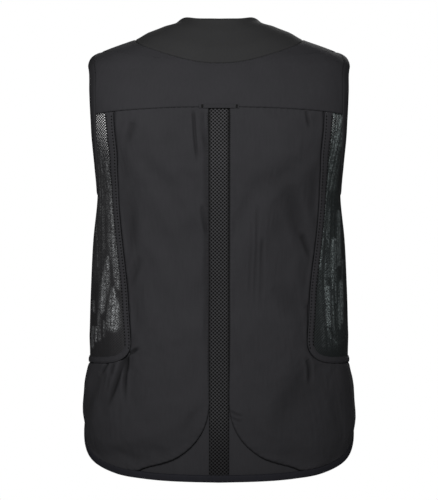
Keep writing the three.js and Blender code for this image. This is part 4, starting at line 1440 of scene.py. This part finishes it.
def net_height(angle, z, patch):
    """A net's height off the form: sunk below its tape, the yoke and the fronts, and bulging where it is
    loose, with ridges at its patches of painted highlight."""
    edge = np.interp(z, EDGE_UP_THE_BACK[:, 1], EDGE_UP_THE_BACK[:, 0])
    from_tape = np.maximum((angle - edge) * NET["mm_per_degree"] - piping_half(z), 0)
    from_seam = (SIDE_SEAM - NET_LOOSE["short_of_seam"] - angle) * NET["mm_per_degree"]
    loose = smooth((NET_LOOSE["below"] - z) / NET_LOOSE["below_over"])
    loose *= smooth((z - NET_LOOSE["above"]) / NET_LOOSE["above_over"])
    loose *= smooth(from_tape / NET_LOOSE["from_tape"]) * smooth(from_seam / NET_LOOSE["from_seam"])
    depth = NET["sink"] + under_yoke(angle, z) + NET["tuck"] * np.exp(-from_tape / NET["tuck_over"])
    depth += NET["under_front"] * smooth((angle - SIDE_SEAM + NET["front_from"]) / NET["front_over"])
    return (NET["ridge"] * np.minimum(patch, 1) + NET["bulge"]) * loose - depth


def net_cells(word, side):
    """Points, quads, painted highlight and cells' corners of a net: diamonds on a lattice that share
    their corners, each with a ring of quads down to a smaller sunken diamond, its hole. The painted
    highlight comes and goes with the threads."""
    half = NET["diamond"] / 2
    reach = (SIDE_SEAM + NET["lap"] - NET["first"]) * NET["mm_per_degree"]
    wide = int(reach / half) + NET_SPARE["columns"]
    tall = int((YOKE_SEAM["middle"] - MESH_FLOOR) / half) + NET_SPARE["rows"]
    column, row = np.meshgrid(np.arange(wide), np.arange(tall))
    lattice = ((column + row) % 2 == 0).ravel()
    arc, height = (column * half).ravel()[lattice], (MESH_FLOOR - half + row * half).ravel()[lattice]
    keep = net_region(NET["first"] + arc / NET["mm_per_degree"], height)
    centre = np.stack([arc, height], -1)[keep]
    spokes = half * np.array([(1, 0), (0, 1), (-1, 0), (0, -1)])
    corners = np.round((centre[:, None] + spokes).reshape(-1, 2) / WELD).astype(int)
    shared, outer = np.unique(corners, axis=0, return_inverse=True)
    outer = outer.reshape(-1, 4)
    holes = np.interp(centre[:, 1], NET_HOLES[:, 0], NET_HOLES[:, 1 if side == LEFT else 2])
    rims = (centre[:, None] + spokes * holes[:, None, None]).reshape(-1, 2)
    inner = len(shared) + np.arange(len(rims)).reshape(-1, 4)
    quads = np.stack([outer, np.roll(outer, -1, 1), np.roll(inner, -1, 1), inner], -1).reshape(-1, 4)
    flat = np.concatenate([shared * WELD, rims])
    angle = NET["first"] + flat[:, 0] / NET["mm_per_degree"]
    flat[:, 1] = np.minimum(flat[:, 1], yoke_seam(angle) + OVER_SEAM)
    sunken = np.repeat([0.0, 1.0], [len(shared), len(rims)])
    places = np.stack([side * angle, flat[:, 1]], -1)
    patch = highlight_at(places, word)
    points = raised(places, net_height(angle, flat[:, 1], patch) - NET["dimple"] * sunken)
    draw = np.random.default_rng(NET_HIGHLIGHT_SPREAD["seed"] + side)
    threads = draw.uniform(*NET_HIGHLIGHT_SPREAD["thread"], wide + NET_SPARE["threads"])
    thread_highlight = threads[np.round(flat[:, 0] / half).astype(int) + 1]
    painted_glint = thread_highlight * draw.uniform(*NET_HIGHLIGHT_SPREAD["cell"], len(flat))
    painted_glint *= 1 - NET_HIGHLIGHT_SPREAD["in_hole"] * sunken
    return points, quads if side == RIGHT else quads[:, ::-1], patch * painted_glint, points[outer]


for word, side in SIDES.items():
    # The light attribute is the net yarn's painted highlight.
    points, quads, light, cells = net_cells(word, side)
    net = add_mesh(
        f"side_mesh_{word}_net", points, [quads], cloths[f"net_yarn_{word}"], attributes={"light": light},
    )
    yarn = net.modifiers.new("yarn", "SOLIDIFY")
    yarn.thickness = NET["yarn"] * MM
    yarn.offset = -1
    stands_for(net, "side_net", f"side_mesh_{word}")


# The front zip: a woven tape with two rows of teeth.

# Its half width under the fronts, the height below which it is narrower, and its profile as a tape's.
ZIP_TAPE = {
    "half": 9.6, "low": 134.0, "rim": -2.7, "face": 3.1, "power": 4, "bottom": -3.3, "spacing": 4.0,
    "across": 21,
}
ZIP_STEPS = 200
zip_line = np.linspace(through(HEM_LINE, FRONT), ZIP_TOP, ZIP_STEPS)
zip_path = evenly(np.stack([np.full(ZIP_STEPS, FRONT), zip_line], -1), ZIP_TAPE["spacing"])
zip_half = np.where(zip_path[:, 1] > ZIP_TAPE["low"], ZIP_TAPE["half"], ZIP_HALF)
zip_profile = bulged(ZIP_TAPE["rim"], ZIP_TAPE["face"], ZIP_TAPE["power"], ZIP_HALF / ZIP_TAPE["half"])
zip_tape, zip_face = tape(
    "front_zip_tape", zip_path, zip_half, zip_profile, level(ZIP_TAPE["bottom"]), cloths["edge_tape"],
    ZIP_TAPE["across"],
)
stands_for(zip_tape, "zip", "front_zip")
zip_columns = [column_line(zip_face, hand * ZIP_TEETH["at"]) for hand in (LEFT, RIGHT)]
teeth = [stitch_row(*column, *ZIP_TEETH["row"]) for column in zip_columns]
zip_teeth = add_stitches("front_zip_teeth", teeth, zip_plastic)
stands_for(zip_teeth, "zip")


# Floor, light and camera.

# A flat ring with almost no hole: its radii, its height and the number of its sides.
FLOOR = {"radii": (0.001, 5000.0), "height": -740.0, "sides": 96}
floor_angle = np.linspace(0, 2 * np.pi, FLOOR["sides"] + 1)[:, None]
floor_reach = np.array(FLOOR["radii"])[None, :]
floor_points = np.stack(np.broadcast_arrays(
    floor_reach * np.cos(floor_angle), floor_reach * np.sin(floor_angle), FLOOR["height"],
), -1).reshape(-1, 3)
pale_floor = bpy.data.materials.new("pale_floor")
pale_floor.use_nodes = True
floor_shader = pale_floor.node_tree.nodes["Principled BSDF"]
floor_shader.inputs["Base Color"].default_value = (0.9, 0.9, 0.9, 1)
floor_shader.inputs["Roughness"].default_value = 0.9
floor_mesh = bpy.data.meshes.new("floor")
floor_quads = quads_of(np.arange(len(floor_points)).reshape(-1, 2))
floor_placed = (floor_points - [0, 0, SHOULDER_HEIGHT]) * MM
floor_mesh.from_pydata(floor_placed.tolist(), [], floor_quads.tolist())
floor_mesh.materials.append(pale_floor)
floor = bpy.data.objects.new("floor", floor_mesh)
bpy.context.scene.collection.objects.link(floor)

AMBIENT = 0.07
world = bpy.data.worlds.new("studio")
bpy.context.scene.world = world
world.use_nodes = True
tree = world.node_tree
tree.nodes.clear()
sky = node(tree, "ShaderNodeBackground", {"Color": (1, 1, 1, 1), "Strength": 1.0})
soft = node(tree, "ShaderNodeBackground", {"Color": (1, 1, 1, 1), "Strength": AMBIENT})
seen = node(tree, "ShaderNodeLightPath")
either = node(tree, "ShaderNodeMixShader")
world_out = node(tree, "ShaderNodeOutputWorld")
tree.links.new(seen.outputs["Is Camera Ray"], either.inputs[0])
tree.links.new(soft.outputs[0], either.inputs[1])
tree.links.new(sky.outputs[0], either.inputs[2])
tree.links.new(either.outputs[0], world_out.inputs[0])


def soft_box(name, place, aim, size, watts, spread):
    """A square area light at a place, turned to face a point, its beam as wide as a spread in
    degrees."""
    data = bpy.data.lights.new(name, "AREA")
    data.size = size
    data.energy = watts
    data.spread = np.radians(spread)
    box = bpy.data.objects.new(name, data)
    bpy.context.scene.collection.objects.link(box)
    box.location = place
    box.rotation_euler = (Vector(aim) - Vector(place)).to_track_quat("-Z", "Y").to_euler()


# Place, aim, size, watts, spread.
LIGHTS = {
    "key_light": ((-0.2, -1.8, 0.35), (-0.2, 0, -0.18), 0.7, 3.85, 60),
    "fill_light": ((1.6, -2.2, 0.2), (0, 0, -0.3), 1.6, 1.3, 180),
    "front_light": ((0.6, 2.6, 1.0), (0, 0, -0.25), 1.6, 40, 180),
}
for name, row in LIGHTS.items():
    soft_box(name, *row)

# Metres behind the shoulders and above the hem, the height of what it sees there, and millimetres of
# its sensor.
CAMERA = {"back": 3.0, "height": 0.314, "sees": 0.7, "sensor": 36}
camera_data = bpy.data.cameras.new("camera")
camera_data.sensor_width = CAMERA["sensor"]
camera_data.lens = CAMERA["sensor"] * CAMERA["back"] / CAMERA["sees"]
camera = bpy.data.objects.new("camera", camera_data)
bpy.context.scene.collection.objects.link(camera)
camera.location = (0, -CAMERA["back"], CAMERA["height"] - SHOULDER_HEIGHT * MM)
camera.rotation_euler = (np.pi / 2, 0, 0)
bpy.context.scene.camera = camera
bpy.context.scene.view_settings.view_transform = "Standard"
